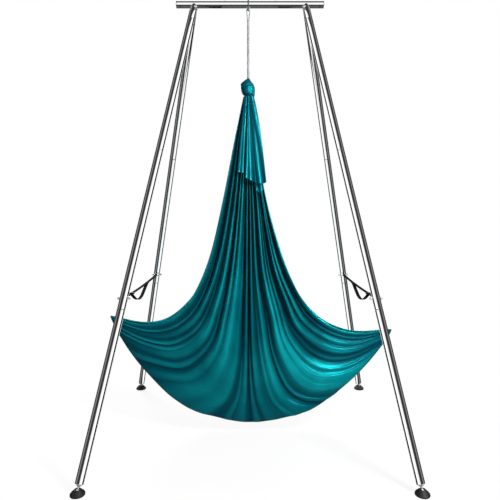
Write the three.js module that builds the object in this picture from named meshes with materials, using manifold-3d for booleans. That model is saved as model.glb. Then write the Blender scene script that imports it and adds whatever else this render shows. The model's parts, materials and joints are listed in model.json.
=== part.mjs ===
// A four-legged steel tube rig with a silk hammock hung from its top beam.
// Millimetres, +Z up, +X to the right, -Y towards the viewer. The origin is on the floor,
// below the middle of the beam.
import * as THREE from 'three';
import { mergeVertices } from 'three/addons/utils/BufferGeometryUtils.js';
import Module from 'manifold-3d';

const wasm = await Module();
wasm.setup();

// Fits and fineness
const fitGap = 0.3; // left between pieces that touch
const weldDistance = 0.001;
const overrun = 5; // how far a cut runs past what it cuts
const tubeSides = 16;
const wireSides = 8;

// Top beam
const beamLength = 1014; // over its end caps
const beamRadius = 25;
const beamWall = 2.5;
const capFlange = 3;
const capPlug = 18;

// Legs, each a welded socket and three tubes that plug into each other
const beamOverhang = 125; // from a leg's axis to the beam's end
const footSpread = 919; // from the middle to a foot's ball
const footReach = 750; // from below the beam to a foot's ball
const legRadius = 24;
const legWall = 2;
const socketLength = 118; // from the beam's axis to the first seam
const upperTubeLength = 970;
const middleTubeLength = 1000;
const lowerTubeLength = 924.7;
const spigotLength = 90;
const swageLength = 6;

// Levelling feet
const ballHeight = 20; // ball's centre above the floor
const ballRadius = 10;
const neckRadius = 4.5;
const neckLength = 14; // from the ball's centre to the thread
const threadRadius = 6;
const threadShowing = 11; // between the neck and the lock nut
const threadInLeg = 62;
const lockNutFlats = 24;
const lockNutHeight = 10;
const insertFlange = 2.5;
const insertPlug = 25;
const padRadius = 40;
const padRim = 8;
const padHeight = 31;
const padTopRadius = 16.5;
const padMouthRadius = 14;
const padChamfer = 2;
const socketGrip = 5; // how far the socket closes above the ball's centre

// Strap anchors: a cross bolt through each middle tube, and a wire bail around the tube
const boltAboveSeam = 65; // along the leg
const boltRadius = 4;
const boltHeadFlats = 13;
const boltHeadHeight = 5.5;
const bailEyeRadius = 8;
const bailEyeWidth = 5.6;
const bailWireRadius = 3;
const bailReach = 37; // from the bolt's axis to the bail's bar
const bailCorner = 12;

// Side straps
const strapWidth = 22;
const strapThickness = 2;
const strapSag = 8;
const strapStitchLength = 60; // doubled and sewn at each end
const buckleFromBar = 148;
const buckleLength = 26;
const buckleRail = 4; // frame around the webbing, at each side
const buckleCheek = 3; // above and below the webbing
const slackSpan = 452; // from the buckle to where the spare webbing is sewn on
const slackDrop = 76;

// Sling and hanging rope
const hangOffset = -12; // from the middle of the beam
const slingWireRadius = 5;
const slingSeat = 0.5; // round the beam
const linkRadius = 10.2; // centre line of both linked bends
const linkBelowBeam = 6; // beam's underside to the bends' shared centre
const eyeWireRadius = 4.5;
const eyeLength = 75;
const ropeRadius = 9;
const ropeShoulder = 14;
const knotBelowBeam = 511; // beam's axis to the knot's top

// Hammock
const knotHeight = 123;
const knotWidth = 98;
const knotDepth = 84;
const knotRim = 3; // cloth round the rope at the knot's top
const knotBore = 25;
const boreGap = 0.5;
const clothDrop = 2234; // knot's underside to the lowest point
const tipReach = 970; // hanging line to a wing tip
const clothThickness = 4;
const foldDepth = 66; // valley to ridge
const pocketDepth = 76; // hanging line to a valley, at the widest
const foldCount = 13;
const tailGap = 1.5; // in front of the folds behind it
const tailThickness = 3;
const tailFoldDepth = 14;

// Colours and finishes
const chrome = { color: 0xd4d7d9, roughness: 0.12, metalness: 1 };
const zinc = { color: 0xaeb2b5, roughness: 0.3, metalness: 1 };
const blackPlastic = { color: 0x141414, roughness: 0.5, metalness: 0 };
const blackWebbing = { color: 0x0b0b0c, roughness: 0.85, metalness: 0 };
const whiteRope = { color: 0xdadbdb, roughness: 0.9, metalness: 0 };
const tealSilk = { color: 0x0a7f88, roughness: 0.45, metalness: 0 };

// Across and down the cloth, level by level from the knot to the bottom fold, left tip to right
// tip: across in shares of the tip reach, down in shares of the cloth's drop.
const clothLevelShares = [
  [[-0.034, 0.001], [0.037, 0.001]],
  [[-0.098, 0.136], [0, 0.145], [0.06, 0.136]],
  [[-0.178, 0.319], [-0.089, 0.336], [-0.003, 0.34], [0.079, 0.336], [0.128, 0.319]],
  [[-0.266, 0.486], [-0.142, 0.52], [-0.003, 0.538], [0.124, 0.52], [0.236, 0.486]],
  [[-0.366, 0.593], [-0.257, 0.628], [-0.135, 0.662], [-0.003, 0.681], [0.138, 0.666],
    [0.247, 0.629], [0.341, 0.593]],
  [[-0.471, 0.652], [-0.401, 0.684], [-0.324, 0.726], [-0.236, 0.775], [-0.124, 0.805],
    [-0.002, 0.811], [0.128, 0.808], [0.229, 0.781], [0.303, 0.732], [0.376, 0.69], [0.45, 0.66]],
  [[-0.598, 0.689], [-0.556, 0.724], [-0.5, 0.776], [-0.408, 0.849], [-0.219, 0.9],
    [0.002, 0.91], [0.216, 0.913], [0.384, 0.876], [0.475, 0.806], [0.538, 0.744], [0.587, 0.704]],
  [[-0.763, 0.697], [-0.741, 0.723], [-0.713, 0.762], [-0.657, 0.839], [-0.396, 0.943],
    [0.009, 0.97], [0.379, 0.954], [0.632, 0.879], [0.696, 0.811], [0.731, 0.762], [0.773, 0.725]],
  [[-0.979, 0.675], [-0.975, 0.682], [-0.964, 0.693], [-0.918, 0.732], [-0.79, 0.812],
    [-0.612, 0.897], [-0.321, 0.974], [0.019, 1], [0.374, 0.969], [0.673, 0.889],
    [0.843, 0.819], [0.957, 0.761], [0.999, 0.735], [1.013, 0.724], [1.017, 0.717]],
];
// Depth of the folds and of the pocket at the same levels
const foldDepthShares = [0.18, 0.6, 0.92, 1, 1, 0.9, 0.78, 0.62, 0.5];
const pocketDepthShares = [0.07, 0.1, 0.2, 0.42, 0.62, 0.8, 0.92, 1, 1];
const wingThinningShare = 0.72; // how much flatter the wings are than the middle
const closingShare = 0.8; // where the panels start to round into the bottom fold

// Upper edge and hem of the two tail flaps: across in shares of the knot's width, down in shares
// of the cloth's drop
const longTopShares = [-0.03, 0.36];
const longHemShares = [[-0.19, 0.253], [0.43, 0.266], [0.95, 0.271], [1.24, 0.266]];
const shortTopShares = [-0.29, -0.05];
const shortHemShares = [[-0.735, 0.236], [-0.14, 0.24]];
const tailFoldStartShare = 0.3; // depth of a tail's folds at the knot
// The knot's rings from its top to its underside: how far down in shares of its height, then half
// its width, half its depth and its shift to the right in shares of the largest ring's
const knotShares = [[0.17, 0.42, 0.5, 0.04], [0.34, 0.74, 0.8, 0], [0.5, 0.96, 0.96, -0.02],
  [0.64, 1, 1, 0], [0.8, 0.94, 1, 0.04], [0.92, 0.84, 0.96, 0.12], [1, 0.72, 0.92, 0.2]];
const knotWrapShare = 0.05; // how far a wrap of cloth stands out
const knotWraps = 3;

// Keeps only the places of a geometry's corners, joined where they coincide, and drops the
// faces of no area that poles leave.
function skin(geometry) {
  const bare = geometry.clone();
  bare.deleteAttribute('normal');
  bare.deleteAttribute('uv');
  const merged = mergeVertices(bare, weldDistance);
  const faces = [];
  const corners = merged.index.array;
  for (let i = 0; i < corners.length; i += 3) {
    const [a, b, c] = [corners[i], corners[i + 1], corners[i + 2]];
    if (a !== b && b !== c && c !== a) faces.push(a, b, c);
  }
  merged.setIndex(faces);
  return merged;
}

// Turns a closed skin right side out.
function facingOut(geometry) {
  const place = geometry.attributes.position;
  const corners = Array.from(geometry.index.array);
  const [a, b, c] = [new THREE.Vector3(), new THREE.Vector3(), new THREE.Vector3()];
  let volume = 0;
  for (let i = 0; i < corners.length; i += 3) {
    a.fromBufferAttribute(place, corners[i]);
    b.fromBufferAttribute(place, corners[i + 1]);
    c.fromBufferAttribute(place, corners[i + 2]);
    volume += a.dot(b.cross(c));
  }
  if (volume < 0) corners.reverse();
  geometry.setIndex(corners);
  return geometry;
}

function toSolid(geometry) {
  const closed = skin(geometry);
  const vertProperties = new Float32Array(closed.attributes.position.array);
  const triVerts = new Uint32Array(closed.index.array);
  return new wasm.Manifold(new wasm.Mesh({ numProp: 3, vertProperties, triVerts }));
}

function fromSolid(solid) {
  const { vertProperties, triVerts } = solid.getMesh();
  const geometry = new THREE.BufferGeometry();
  geometry.setAttribute('position', new THREE.BufferAttribute(vertProperties, 3));
  geometry.setIndex(Array.from(triVerts));
  return geometry;
}

// A turned piece: the profile gives radius and height up +Z, with its inside on the left.
function turned(profile, sides = tubeSides) {
  const points = profile.map(([radius, height]) => new THREE.Vector2(radius, height));
  return skin(new THREE.LatheGeometry(points, sides)).rotateX(Math.PI / 2);
}

function ring(outer, inner, bottom, top, sides = tubeSides) {
  return turned([[outer, bottom], [outer, top], [inner, top], [inner, bottom], [outer, bottom]], sides);
}

function rod(radius, bottom, top, sides = tubeSides) {
  return turned([[0, bottom], [radius, bottom], [radius, top], [0, top]], sides);
}

function hexagon(acrossFlats) {
  const corner = acrossFlats / Math.sqrt(3);
  const turns = [0, 1, 2, 3, 4, 5].map((step) => (step * Math.PI) / 3);
  return new THREE.Shape(turns.map((turn) => new THREE.Vector2(Math.cos(turn), Math.sin(turn))
    .multiplyScalar(corner)));
}

function hexNut(acrossFlats, height, boreRadius) {
  const outline = hexagon(acrossFlats);
  outline.holes.push(new THREE.Path().absarc(0, 0, boreRadius, 0, 2 * Math.PI, true));
  return skin(new THREE.ExtrudeGeometry(outline, {
    depth: height, bevelEnabled: false, curveSegments: wireSides,
  }));
}

// Joins rings of points into one closed skin: capped at both ends, or back to its first ring.
function loft(rings, looped = false) {
  const count = rings[0].length;
  const points = rings.flat();
  const faces = [];
  const spans = looped ? rings.length : rings.length - 1;
  for (let i = 0; i < spans; i += 1) {
    const next = (i + 1) % rings.length;
    for (let j = 0; j < count; j += 1) {
      const k = (j + 1) % count;
      const [a, b] = [i * count + j, i * count + k];
      const [c, d] = [next * count + j, next * count + k];
      faces.push(a, b, d, a, d, c);
    }
  }
  if (!looped) {
    for (const [at, flip] of [[0, true], [rings.length - 1, false]]) {
      const middle = new THREE.Vector3();
      rings[at].forEach((point) => middle.add(point));
      points.push(middle.divideScalar(count));
      for (let j = 0; j < count; j += 1) {
        const [a, b] = [at * count + j, at * count + ((j + 1) % count)];
        faces.push(...(flip ? [b, a, points.length - 1] : [a, b, points.length - 1]));
      }
    }
  }
  const geometry = new THREE.BufferGeometry().setFromPoints(points);
  geometry.setIndex(faces);
  return facingOut(geometry);
}

// A round wire along a flat route, whose plane's normal is given.
function wire(route, radius, normal, looped = false, sides = wireSides) {
  const last = route.length - 1;
  const rings = route.map((point, i) => {
    const before = route[looped ? (i + last) % route.length : Math.max(i - 1, 0)];
    const after = route[looped ? (i + 1) % route.length : Math.min(i + 1, last)];
    const along = after.clone().sub(before).normalize();
    const across = new THREE.Vector3().crossVectors(along, normal);
    return Array.from({ length: sides }, (_, j) => {
      const turn = (2 * Math.PI * j) / sides;
      return point.clone()
        .addScaledVector(normal, Math.cos(turn) * radius)
        .addScaledVector(across, Math.sin(turn) * radius);
    });
  });
  return loft(rings, looped);
}

// Points on an arc in a plane given by two directions.
function arc(center, radius, from, to, steps, right, up) {
  return Array.from({ length: steps + 1 }, (_, i) => {
    const turn = from + ((to - from) * i) / steps;
    return center.clone()
      .addScaledVector(right, Math.cos(turn) * radius)
      .addScaledVector(up, Math.sin(turn) * radius);
  });
}

function piece(name, geometry, finish, parent, place = [0, 0, 0]) {
  geometry.computeVertexNormals();
  const mesh = new THREE.Mesh(geometry, new THREE.MeshStandardMaterial(finish));
  mesh.name = name;
  mesh.position.set(...place);
  parent.add(mesh);
  return mesh;
}

const rig = new THREE.Group();
const unitX = new THREE.Vector3(1, 0, 0);
const unitY = new THREE.Vector3(0, 1, 0);
const unitZ = new THREE.Vector3(0, 0, 1);

// The legs' lengths and their spread set how high the beam's axis stands above the floor.
const legTopSpread = beamLength / 2 - beamOverhang;
const nutAboveBall = neckLength + threadShowing;
const insertAboveBall = nutAboveBall + lockNutHeight + fitGap;
const tubeEndAboveBall = insertAboveBall + insertFlange + fitGap;
const lowerStart = socketLength + upperTubeLength + middleTubeLength;
const lowerEnd = lowerStart + lowerTubeLength;
const legAxisLength = lowerEnd + tubeEndAboveBall;
const legRun = Math.hypot(footSpread - legTopSpread, footReach);
const beamHeight = ballHeight + Math.sqrt(legAxisLength ** 2 - legRun ** 2);

// Top beam: an open tube with a cap plugged into each end
const tubeOfBeam = beamLength / 2 - capFlange - fitGap;
piece('top_beam', ring(beamRadius, beamRadius - beamWall, -tubeOfBeam, tubeOfBeam)
  .rotateY(Math.PI / 2), chrome, rig, [0, 0, beamHeight]);

function beamCap() {
  const plugRadius = beamRadius - beamWall - fitGap;
  const face = beamLength / 2;
  const seat = face - capFlange;
  const edge = capFlange / 2;
  return turned([[0, seat - capPlug], [plugRadius, seat - capPlug], [plugRadius, seat],
    [beamRadius, seat], [beamRadius, face - edge], [beamRadius - edge, face], [0, face]]);
}
for (const [side, turn] of [['left', -Math.PI / 2], ['right', Math.PI / 2]]) {
  piece(`beam_cap_${side}`, beamCap().rotateY(turn), chrome, rig, [0, 0, beamHeight]);
}

// Each leg is built down -Z from the beam's axis, in a group turned along the leg.
const legBore = legRadius - legWall;
const spigotRadius = legBore - fitGap;
const upperStart = socketLength;
const middleStart = upperStart + upperTubeLength;

// A tube down the leg, whose lower end is drawn in to plug into the next tube.
function leggedTube(start, end) {
  const [top, foot, tip] = [-start, -end + fitGap, -end - spigotLength];
  return turned([[spigotRadius, tip], [spigotRadius, foot], [legRadius, foot], [legRadius, top],
    [legBore, top], [legBore, foot + swageLength], [spigotRadius - legWall, foot],
    [spigotRadius - legWall, tip], [spigotRadius, tip]]);
}

// The welded socket: mitred against its neighbour and coped to the beam.
function legSocket(leg) {
  const world = leg.group.matrixWorld;
  const blank = leggedTube(0, socketLength).applyMatrix4(world);
  const beam = rod(beamRadius + fitGap, -beamLength, beamLength).rotateY(Math.PI / 2)
    .translate(0, 0, beamHeight);
  const otherHalf = new THREE.BoxGeometry(beamLength * 2, footReach, beamHeight * 2)
    .translate(0, -leg.back * (footReach / 2 - fitGap / 2), beamHeight);
  const cut = toSolid(blank).subtract(toSolid(beam)).subtract(toSolid(otherHalf));
  return fromSolid(cut).applyMatrix4(world.clone().invert());
}

const boltAlongLeg = lowerStart - boltAboveSeam;
const boltShare = boltAlongLeg / legAxisLength;
const boltSpread = legTopSpread + (footSpread - legTopSpread) * boltShare;
const boltDepth = footReach * boltShare;
const boltHeight = beamHeight + (ballHeight - beamHeight) * boltShare;
const leanOfLeg = (footSpread - legTopSpread) / (beamHeight - ballHeight);
const legHalfWidth = legRadius * Math.hypot(1, leanOfLeg);
const bailInner = legHalfWidth + bailEyeRadius * leanOfLeg + fitGap;
const bailMiddle = bailInner + bailEyeWidth / 2;
const bailOuter = bailInner + bailEyeWidth;

function middleTube(leg) {
  const hole = rod(boltRadius + fitGap, -legRadius - overrun, legRadius + overrun, wireSides)
    .rotateY(Math.PI / 2)
    .translate(leg.side * boltSpread, leg.back * boltDepth, boltHeight)
    .applyMatrix4(leg.group.matrixWorld.clone().invert());
  return fromSolid(toSolid(leggedTube(middleStart, lowerStart)).subtract(toSolid(hole)));
}

function lowerTube() {
  return ring(legRadius, legBore, -lowerEnd, -lowerStart);
}

// Foot pieces, measured up from the ball's centre
function footInsert() {
  const bore = threadRadius + fitGap;
  const [low, seat] = [insertAboveBall, insertAboveBall + insertFlange];
  return turned([[bore, low], [legRadius, low], [legRadius, seat], [spigotRadius, seat],
    [spigotRadius, seat + insertPlug], [bore, seat + insertPlug], [bore, low]]);
}

function footStem() {
  const profile = [[0, -ballRadius]];
  const neckTurn = Math.acos(neckRadius / ballRadius);
  const steps = 8;
  for (let i = 1; i <= steps; i += 1) {
    const turn = -Math.PI / 2 + ((neckTurn + Math.PI / 2) * i) / steps;
    profile.push([Math.cos(turn) * ballRadius, Math.sin(turn) * ballRadius]);
  }
  const top = tubeEndAboveBall + threadInLeg;
  profile.push([neckRadius, neckLength], [threadRadius, neckLength], [threadRadius, top], [0, top]);
  return turned(profile);
}

function footPad() {
  const cup = ballRadius + fitGap;
  const floor = -ballHeight;
  const top = floor + padHeight;
  const domeShares = [[0.8, 0.34], [0.48, 0.68], [0.2, 0.9]];
  const dome = domeShares.map(([out, up]) => [
    padTopRadius + (padRadius - padTopRadius) * out,
    floor + padRim + (padHeight - padRim) * up,
  ]);
  const profile = [[0, floor], [padRadius - padChamfer, floor], [padRadius, floor + padChamfer],
    [padRadius, floor + padRim], ...dome, [padTopRadius, top], [padMouthRadius, top]];
  const steps = 8;
  const mouthTurn = Math.asin(socketGrip / cup);
  for (let i = 0; i < steps; i += 1) {
    const turn = mouthTurn - ((mouthTurn + Math.PI / 2) * i) / steps;
    profile.push([Math.cos(turn) * cup, Math.sin(turn) * cup]);
  }
  profile.push([0, -cup]);
  return turned(profile);
}

// Cross bolt along +X with its head inwards, and the bail that hooks round the tube
const boltSeat = bailOuter + fitGap;
function strapBolt() {
  const shankEnd = boltSeat + boltHeadHeight + fitGap * 2;
  const shank = rod(boltRadius, -boltSeat - boltHeadHeight / 2, shankEnd, wireSides)
    .rotateY(Math.PI / 2);
  const head = hexNut(boltHeadFlats, boltHeadHeight, boltRadius / 2).rotateY(Math.PI / 2)
    .translate(-boltSeat - boltHeadHeight, 0, 0);
  return fromSolid(toSolid(shank).add(toSolid(head)));
}

function strapBoltNut() {
  return hexNut(boltHeadFlats, boltHeadHeight, boltRadius + fitGap).rotateY(Math.PI / 2)
    .translate(boltSeat, 0, 0);
}

function strapBail(back) {
  const point = (x, y) => new THREE.Vector3(x, y, 0);
  const corner = (side) => arc(point(side * (bailMiddle - bailCorner), bailReach - bailCorner),
    bailCorner, 0, Math.PI / 2, 4, unitX.clone().multiplyScalar(side), unitY);
  const route = [point(bailMiddle, 0), ...corner(1), ...corner(-1).reverse(), point(-bailMiddle, 0)];
  let solid = toSolid(wire(route, bailWireRadius, unitZ));
  for (const side of [-1, 1]) {
    const eye = rod(bailEyeRadius, -bailEyeWidth / 2, bailEyeWidth / 2, wireSides * 2)
      .rotateY(Math.PI / 2).translate(side * bailMiddle, 0, 0);
    solid = solid.add(toSolid(eye));
  }
  const hole = rod(boltRadius + fitGap, -bailOuter - overrun, bailOuter + overrun, wireSides)
    .rotateY(Math.PI / 2);
  return fromSolid(solid.subtract(toSolid(hole))).rotateZ(back > 0 ? Math.PI : 0);
}

const corners = [
  { name: 'front_left', side: -1, back: -1 },
  { name: 'front_right', side: 1, back: -1 },
  { name: 'back_left', side: -1, back: 1 },
  { name: 'back_right', side: 1, back: 1 },
];
for (const corner of corners) {
  const group = new THREE.Group();
  const top = new THREE.Vector3(corner.side * legTopSpread, 0, beamHeight);
  const foot = new THREE.Vector3(corner.side * footSpread, corner.back * footReach, ballHeight);
  group.position.copy(top);
  group.quaternion.setFromUnitVectors(unitZ, top.clone().sub(foot).normalize());
  group.updateMatrixWorld();
  rig.add(group);
  const leg = { ...corner, group };
  const { name } = corner;
  piece(`leg_socket_${name}`, legSocket(leg), chrome, group);
  piece(`leg_upper_tube_${name}`, leggedTube(upperStart, middleStart), chrome, group);
  piece(`leg_middle_tube_${name}`, middleTube(leg), chrome, group);
  piece(`leg_lower_tube_${name}`, lowerTube(), chrome, group);
  const ball = [0, 0, -legAxisLength];
  piece(`foot_insert_${name}`, footInsert(), zinc, group, ball);
  piece(`foot_stem_${name}`, footStem(), zinc, group, ball);
  const nut = hexNut(lockNutFlats, lockNutHeight, threadRadius + fitGap);
  piece(`foot_lock_nut_${name}`, nut, zinc, group, [0, 0, nutAboveBall - legAxisLength]);
  piece(`foot_pad_${name}`, footPad(), blackPlastic, rig, foot.toArray());
  const bolt = new THREE.Group();
  bolt.position.set(corner.side * boltSpread, corner.back * boltDepth, boltHeight);
  bolt.rotation.z = corner.side > 0 ? 0 : Math.PI;
  rig.add(bolt);
  piece(`strap_bolt_${name}`, strapBolt(), zinc, bolt);
  piece(`strap_bolt_nut_${name}`, strapBoltNut(), zinc, bolt);
  piece(`strap_bail_${name}`, strapBail(corner.back * corner.side), zinc, bolt);
}

// Side straps, drawn from the side: y to the back, z up, as wide as the webbing across X
const barRadius = bailWireRadius + fitGap;
const strapEnd = boltDepth - bailReach; // from the middle of the strap to a bail's bar
const strapDip = (y) => -strapSag * (1 - (y / strapEnd) ** 2);

function webbing(outline) {
  const band = new THREE.ExtrudeGeometry(outline, {
    depth: strapWidth, bevelEnabled: false, curveSegments: wireSides,
  });
  return skin(band).translate(0, 0, -strapWidth / 2).applyMatrix4(new THREE.Matrix4().makeBasis(
    unitY, unitZ, unitX,
  ));
}

function strap() {
  const loopRadius = barRadius + strapThickness;
  const halfAt = (y) => (strapEnd - Math.abs(y) < strapStitchLength ? strapThickness
    : strapThickness / 2);
  const neck = Math.sqrt(loopRadius ** 2 - strapThickness ** 2);
  const stitch = strapEnd - strapStitchLength;
  const singleShares = [-1, -0.5, 0, 0.5, 1];
  const single = singleShares.map((share) => share * (stitch - strapThickness));
  const stations = [-(strapEnd - neck), -stitch, ...single, stitch, strapEnd - neck];
  const outline = new THREE.Shape();
  const neckTurn = Math.asin(strapThickness / loopRadius);
  outline.absarc(strapEnd, 0, loopRadius, -Math.PI + neckTurn, Math.PI - neckTurn, false);
  [...stations].reverse().slice(1, -1).forEach((y) => outline.lineTo(y, strapDip(y) + halfAt(y)));
  outline.absarc(-strapEnd, 0, loopRadius, neckTurn, 2 * Math.PI - neckTurn, false);
  stations.slice(1, -1).forEach((y) => outline.lineTo(y, strapDip(y) - halfAt(y)));
  for (const end of [-strapEnd, strapEnd]) {
    outline.holes.push(new THREE.Path().absarc(end, 0, barRadius, 0, 2 * Math.PI, true));
  }
  return webbing(outline);
}

const buckleAt = -strapEnd + buckleFromBar;
const buckleHalf = strapThickness / 2 + 2 * fitGap; // half the slot's height
const buckleUnder = buckleHalf + buckleCheek;
function strapBuckle() {
  const across = strapWidth / 2 + 2 * fitGap;
  const box = (x, z) => [[-x, -z], [x, -z], [x, z], [-x, z]].map((p) => new THREE.Vector2(...p));
  const outline = new THREE.Shape(box(across + buckleRail, buckleUnder));
  outline.holes.push(new THREE.Path(box(across, buckleHalf)));
  const frame = new THREE.ExtrudeGeometry(outline, { depth: buckleLength, bevelEnabled: false });
  const slope = (2 * strapSag * buckleAt) / strapEnd ** 2;
  return skin(frame).translate(0, 0, -buckleLength / 2).rotateX(Math.PI / 2 + Math.atan(slope));
}

// Spare webbing: from under the buckle down in a slack bow, and back up to the strap
function strapSlack() {
  const start = buckleAt;
  const end = buckleAt + slackSpan;
  const top = strapDip(start) - buckleUnder - fitGap * 2;
  const under = strapDip(end) - strapThickness / 2 - fitGap;
  const bowShares = [[0.035, 0.32], [0.12, 0.68], [0.27, 0.93], [0.45, 1], [0.63, 0.9],
    [0.8, 0.6], [0.92, 0.28]];
  const bow = bowShares.map(([along, down]) => new THREE.Vector2(
    start + slackSpan * along,
    top - slackDrop * down,
  ));
  const route = new THREE.SplineCurve([new THREE.Vector2(start, top), ...bow,
    new THREE.Vector2(end, under - strapThickness)]);
  const places = route.getPoints(24);
  const offset = (side) => places.map((point, i) => {
    const along = route.getTangent(i / (places.length - 1));
    return new THREE.Vector2(point.x - side * along.y * strapThickness / 2,
      point.y + side * along.x * strapThickness / 2);
  });
  const upper = offset(1);
  const lower = offset(-1);
  upper[0].y = top;
  lower[0].y = top;
  upper[upper.length - 1].y = under;
  return webbing(new THREE.Shape([...lower, ...upper.reverse()]));
}

for (const [side, sign] of [['left', -1], ['right', 1]]) {
  const x = sign * boltSpread;
  piece(`strap_${side}`, strap(), blackWebbing, rig, [x, 0, boltHeight]);
  piece(`strap_buckle_${side}`, strapBuckle(), blackPlastic, rig,
    [x, buckleAt, boltHeight + strapDip(buckleAt)]);
  piece(`strap_slack_${side}`, strapSlack(), blackWebbing, rig, [x, 0, boltHeight]);
}

// Sling: a cord ring round the beam, drawn in below it to the bend that holds the rope's eye
const linkHeight = beamHeight - beamRadius - linkBelowBeam; // shared centre of both bends
function beamSling() {
  const seat = beamRadius + slingSeat + slingWireRadius;
  const drop = beamHeight - linkHeight;
  const lean = Math.asin((seat - linkRadius) / drop);
  const beamArc = arc(new THREE.Vector3(0, 0, beamHeight), seat, -lean, Math.PI + lean, 26,
    unitY, unitZ);
  const linkArc = arc(new THREE.Vector3(0, 0, linkHeight), linkRadius, Math.PI + lean,
    2 * Math.PI - lean, 10, unitY, unitZ);
  return wire([...beamArc, ...linkArc], slingWireRadius, unitX, true);
}
piece('beam_sling', beamSling(), whiteRope, rig, [hangOffset, 0, 0]);

// Hanging rope: its strands open into an eye that hangs in the sling
const eyeHeight = linkHeight - linkRadius; // centre of the sling's lowest wire
const knotTop = beamHeight - knotBelowBeam;
const ropeTop = eyeHeight - eyeLength;
function hangingRope() {
  const center = new THREE.Vector3(0, 0, eyeHeight);
  const bend = arc(center, linkRadius, 0, Math.PI, 14, unitX, unitZ);
  const closed = ropeRadius - eyeWireRadius;
  const strandShares = [0.35, 0.7, 1];
  const strand = (side) => strandShares.map((share) => new THREE.Vector3(
    side * THREE.MathUtils.lerp(linkRadius, closed, THREE.MathUtils.smoothstep(share, 0, 1)),
    0,
    eyeHeight - eyeLength * share,
  ));
  const deep = (side) => new THREE.Vector3(side * closed, 0, ropeTop - ropeShoulder);
  const route = [deep(1), ...strand(1).reverse(), ...bend, ...strand(-1), deep(-1)];
  const eye = wire(route, eyeWireRadius, unitY);
  const [end, full] = [knotTop - knotBore + fitGap, ropeTop - ropeShoulder];
  const body = turned([[0, end], [ropeRadius, end], [ropeRadius, full],
    [closed, ropeTop], [0, ropeTop]], wireSides + 2);
  return fromSolid(toSolid(eye).add(toSolid(body)));
}
piece('hanging_rope', hangingRope(), whiteRope, rig, [hangOffset, 0, 0]);

// Knot: wraps of cloth round the rope's end, measured down from its top
function hammockKnot() {
  const sides = 20;
  const around = (halfWidth, halfDepth, height, wrap = 0, shift = 0) => Array.from(
    { length: sides },
    (_, j) => {
      const turn = (2 * Math.PI * j) / sides;
      const swell = 1 + wrap * Math.sin(knotWraps * 2 * Math.PI * (-height / knotHeight) + turn);
      return new THREE.Vector3(shift + Math.cos(turn) * halfWidth * swell,
        Math.sin(turn) * halfDepth * swell, height);
    },
  );
  const bore = ropeRadius + boreGap;
  const rim = bore + knotRim;
  const rings = [around(bore, bore, -knotBore), around(bore, bore, 0), around(rim, rim, 0)];
  for (const [down, wide, deep, shift] of knotShares) {
    rings.push(around(wide * knotWidth / 2, deep * knotDepth / 2, -down * knotHeight,
      down < 1 ? knotWrapShare : 0, shift * knotWidth / 2));
  }
  return loft(rings);
}
piece('hammock_knot', hammockKnot(), tealSilk, rig, [hangOffset, 0, knotTop]);

// Cloth: one sheet down the front, round the bottom fold and up the back
const levelCurves = clothLevelShares.map((level) => new THREE.CatmullRomCurve3(
  level.map(([across, down]) => new THREE.Vector3(across * tipReach, 0, -down * clothDrop)),
));

function clothPlace(across, down) {
  const column = levelCurves.map((level) => level.getPoint(across));
  return new THREE.CatmullRomCurve3(column).getPoint(down);
}

function shareAt(shares, position) {
  const at = position * (shares.length - 1);
  const low = Math.min(Math.floor(at), shares.length - 2);
  return shares[low] + (shares[low + 1] - shares[low]) * (at - low);
}

// The outer and inner corner of the sheet at a place across it, a level and a turn round the
// bottom fold, from 0 in front to half a turn at the back.
function clothCorner(across, level, turn, ridge) {
  const place = clothPlace(across, level);
  const wing = Math.abs(2 * across - 1);
  const thin = 1 - wingThinningShare * wing ** 2 * THREE.MathUtils.smoothstep(level, 0.4, 0.9);
  const folds = foldDepth * shareAt(foldDepthShares, level) * ridge;
  const pocket = pocketDepth * shareAt(pocketDepthShares, level);
  const depth = clothThickness + (pocket + folds) * thin;
  const hem = levelCurves[levelCurves.length - 1].getTangent(across);
  const down = new THREE.Vector3(hem.z, 0, -hem.x);
  const out = new THREE.Vector3(0, -Math.cos(turn), 0).addScaledVector(down, Math.sin(turn));
  const outer = place.setY(-Math.cos(turn) * depth);
  return { outer, inner: outer.clone().addScaledVector(out, -clothThickness) };
}

// One closed skin from a grid of outer and inner corners. Both sides split their quads along the
// same diagonal, so that they stay apart.
function sheetSkin(grid) {
  const columns = grid[0].length;
  const loop = (row) => [...row.map((corner) => corner.outer),
    ...[...row].reverse().map((corner) => corner.inner)];
  const rings = grid.map(loop);
  const points = rings.flat();
  const count = columns * 2;
  const faces = [];
  for (let i = 0; i < rings.length - 1; i += 1) {
    for (let j = 0; j < count; j += 1) {
      const k = (j + 1) % count;
      const [a, b] = [i * count + j, i * count + k];
      const [c, d] = [a + count, b + count];
      faces.push(...(j < columns ? [a, b, d, a, d, c] : [a, b, c, b, d, c]));
    }
  }
  for (let j = 0; j < columns - 1; j += 1) {
    const [a, b, c, d] = [j, j + 1, count - 2 - j, count - 1 - j];
    faces.push(b, a, d, b, d, c);
    const end = (rings.length - 1) * count;
    faces.push(end + a, end + b, end + c, end + a, end + c, end + d);
  }
  const geometry = new THREE.BufferGeometry().setFromPoints(points);
  geometry.setIndex(faces);
  return facingOut(geometry);
}

function hammockCloth() {
  const straightShares = [0, 0.17, 0.36, 0.54, 0.7, 0.86, 1];
  const closingTurns = [30, 60, 90, 120, 150].map(THREE.MathUtils.degToRad);
  const front = straightShares.map((share) => ({ level: share * closingShare, turn: 0 }));
  const fold = closingTurns.map((turn) => ({
    level: closingShare + (1 - closingShare) * Math.sin(turn), turn,
  }));
  const back = [...front].reverse().map(({ level }) => ({ level, turn: Math.PI }));
  return sheetSkin([...front, ...fold, ...back].map(({ level, turn }) => Array.from(
    { length: 2 * foldCount + 1 },
    (_, i) => clothCorner(i / (2 * foldCount), level, turn, i % 2),
  )));
}
const knotUnderside = knotTop - knotHeight;
const clothTop = knotUnderside - fitGap;
piece('hammock_cloth', hammockCloth(), tealSilk, rig, [hangOffset, 0, clothTop]);

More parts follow.
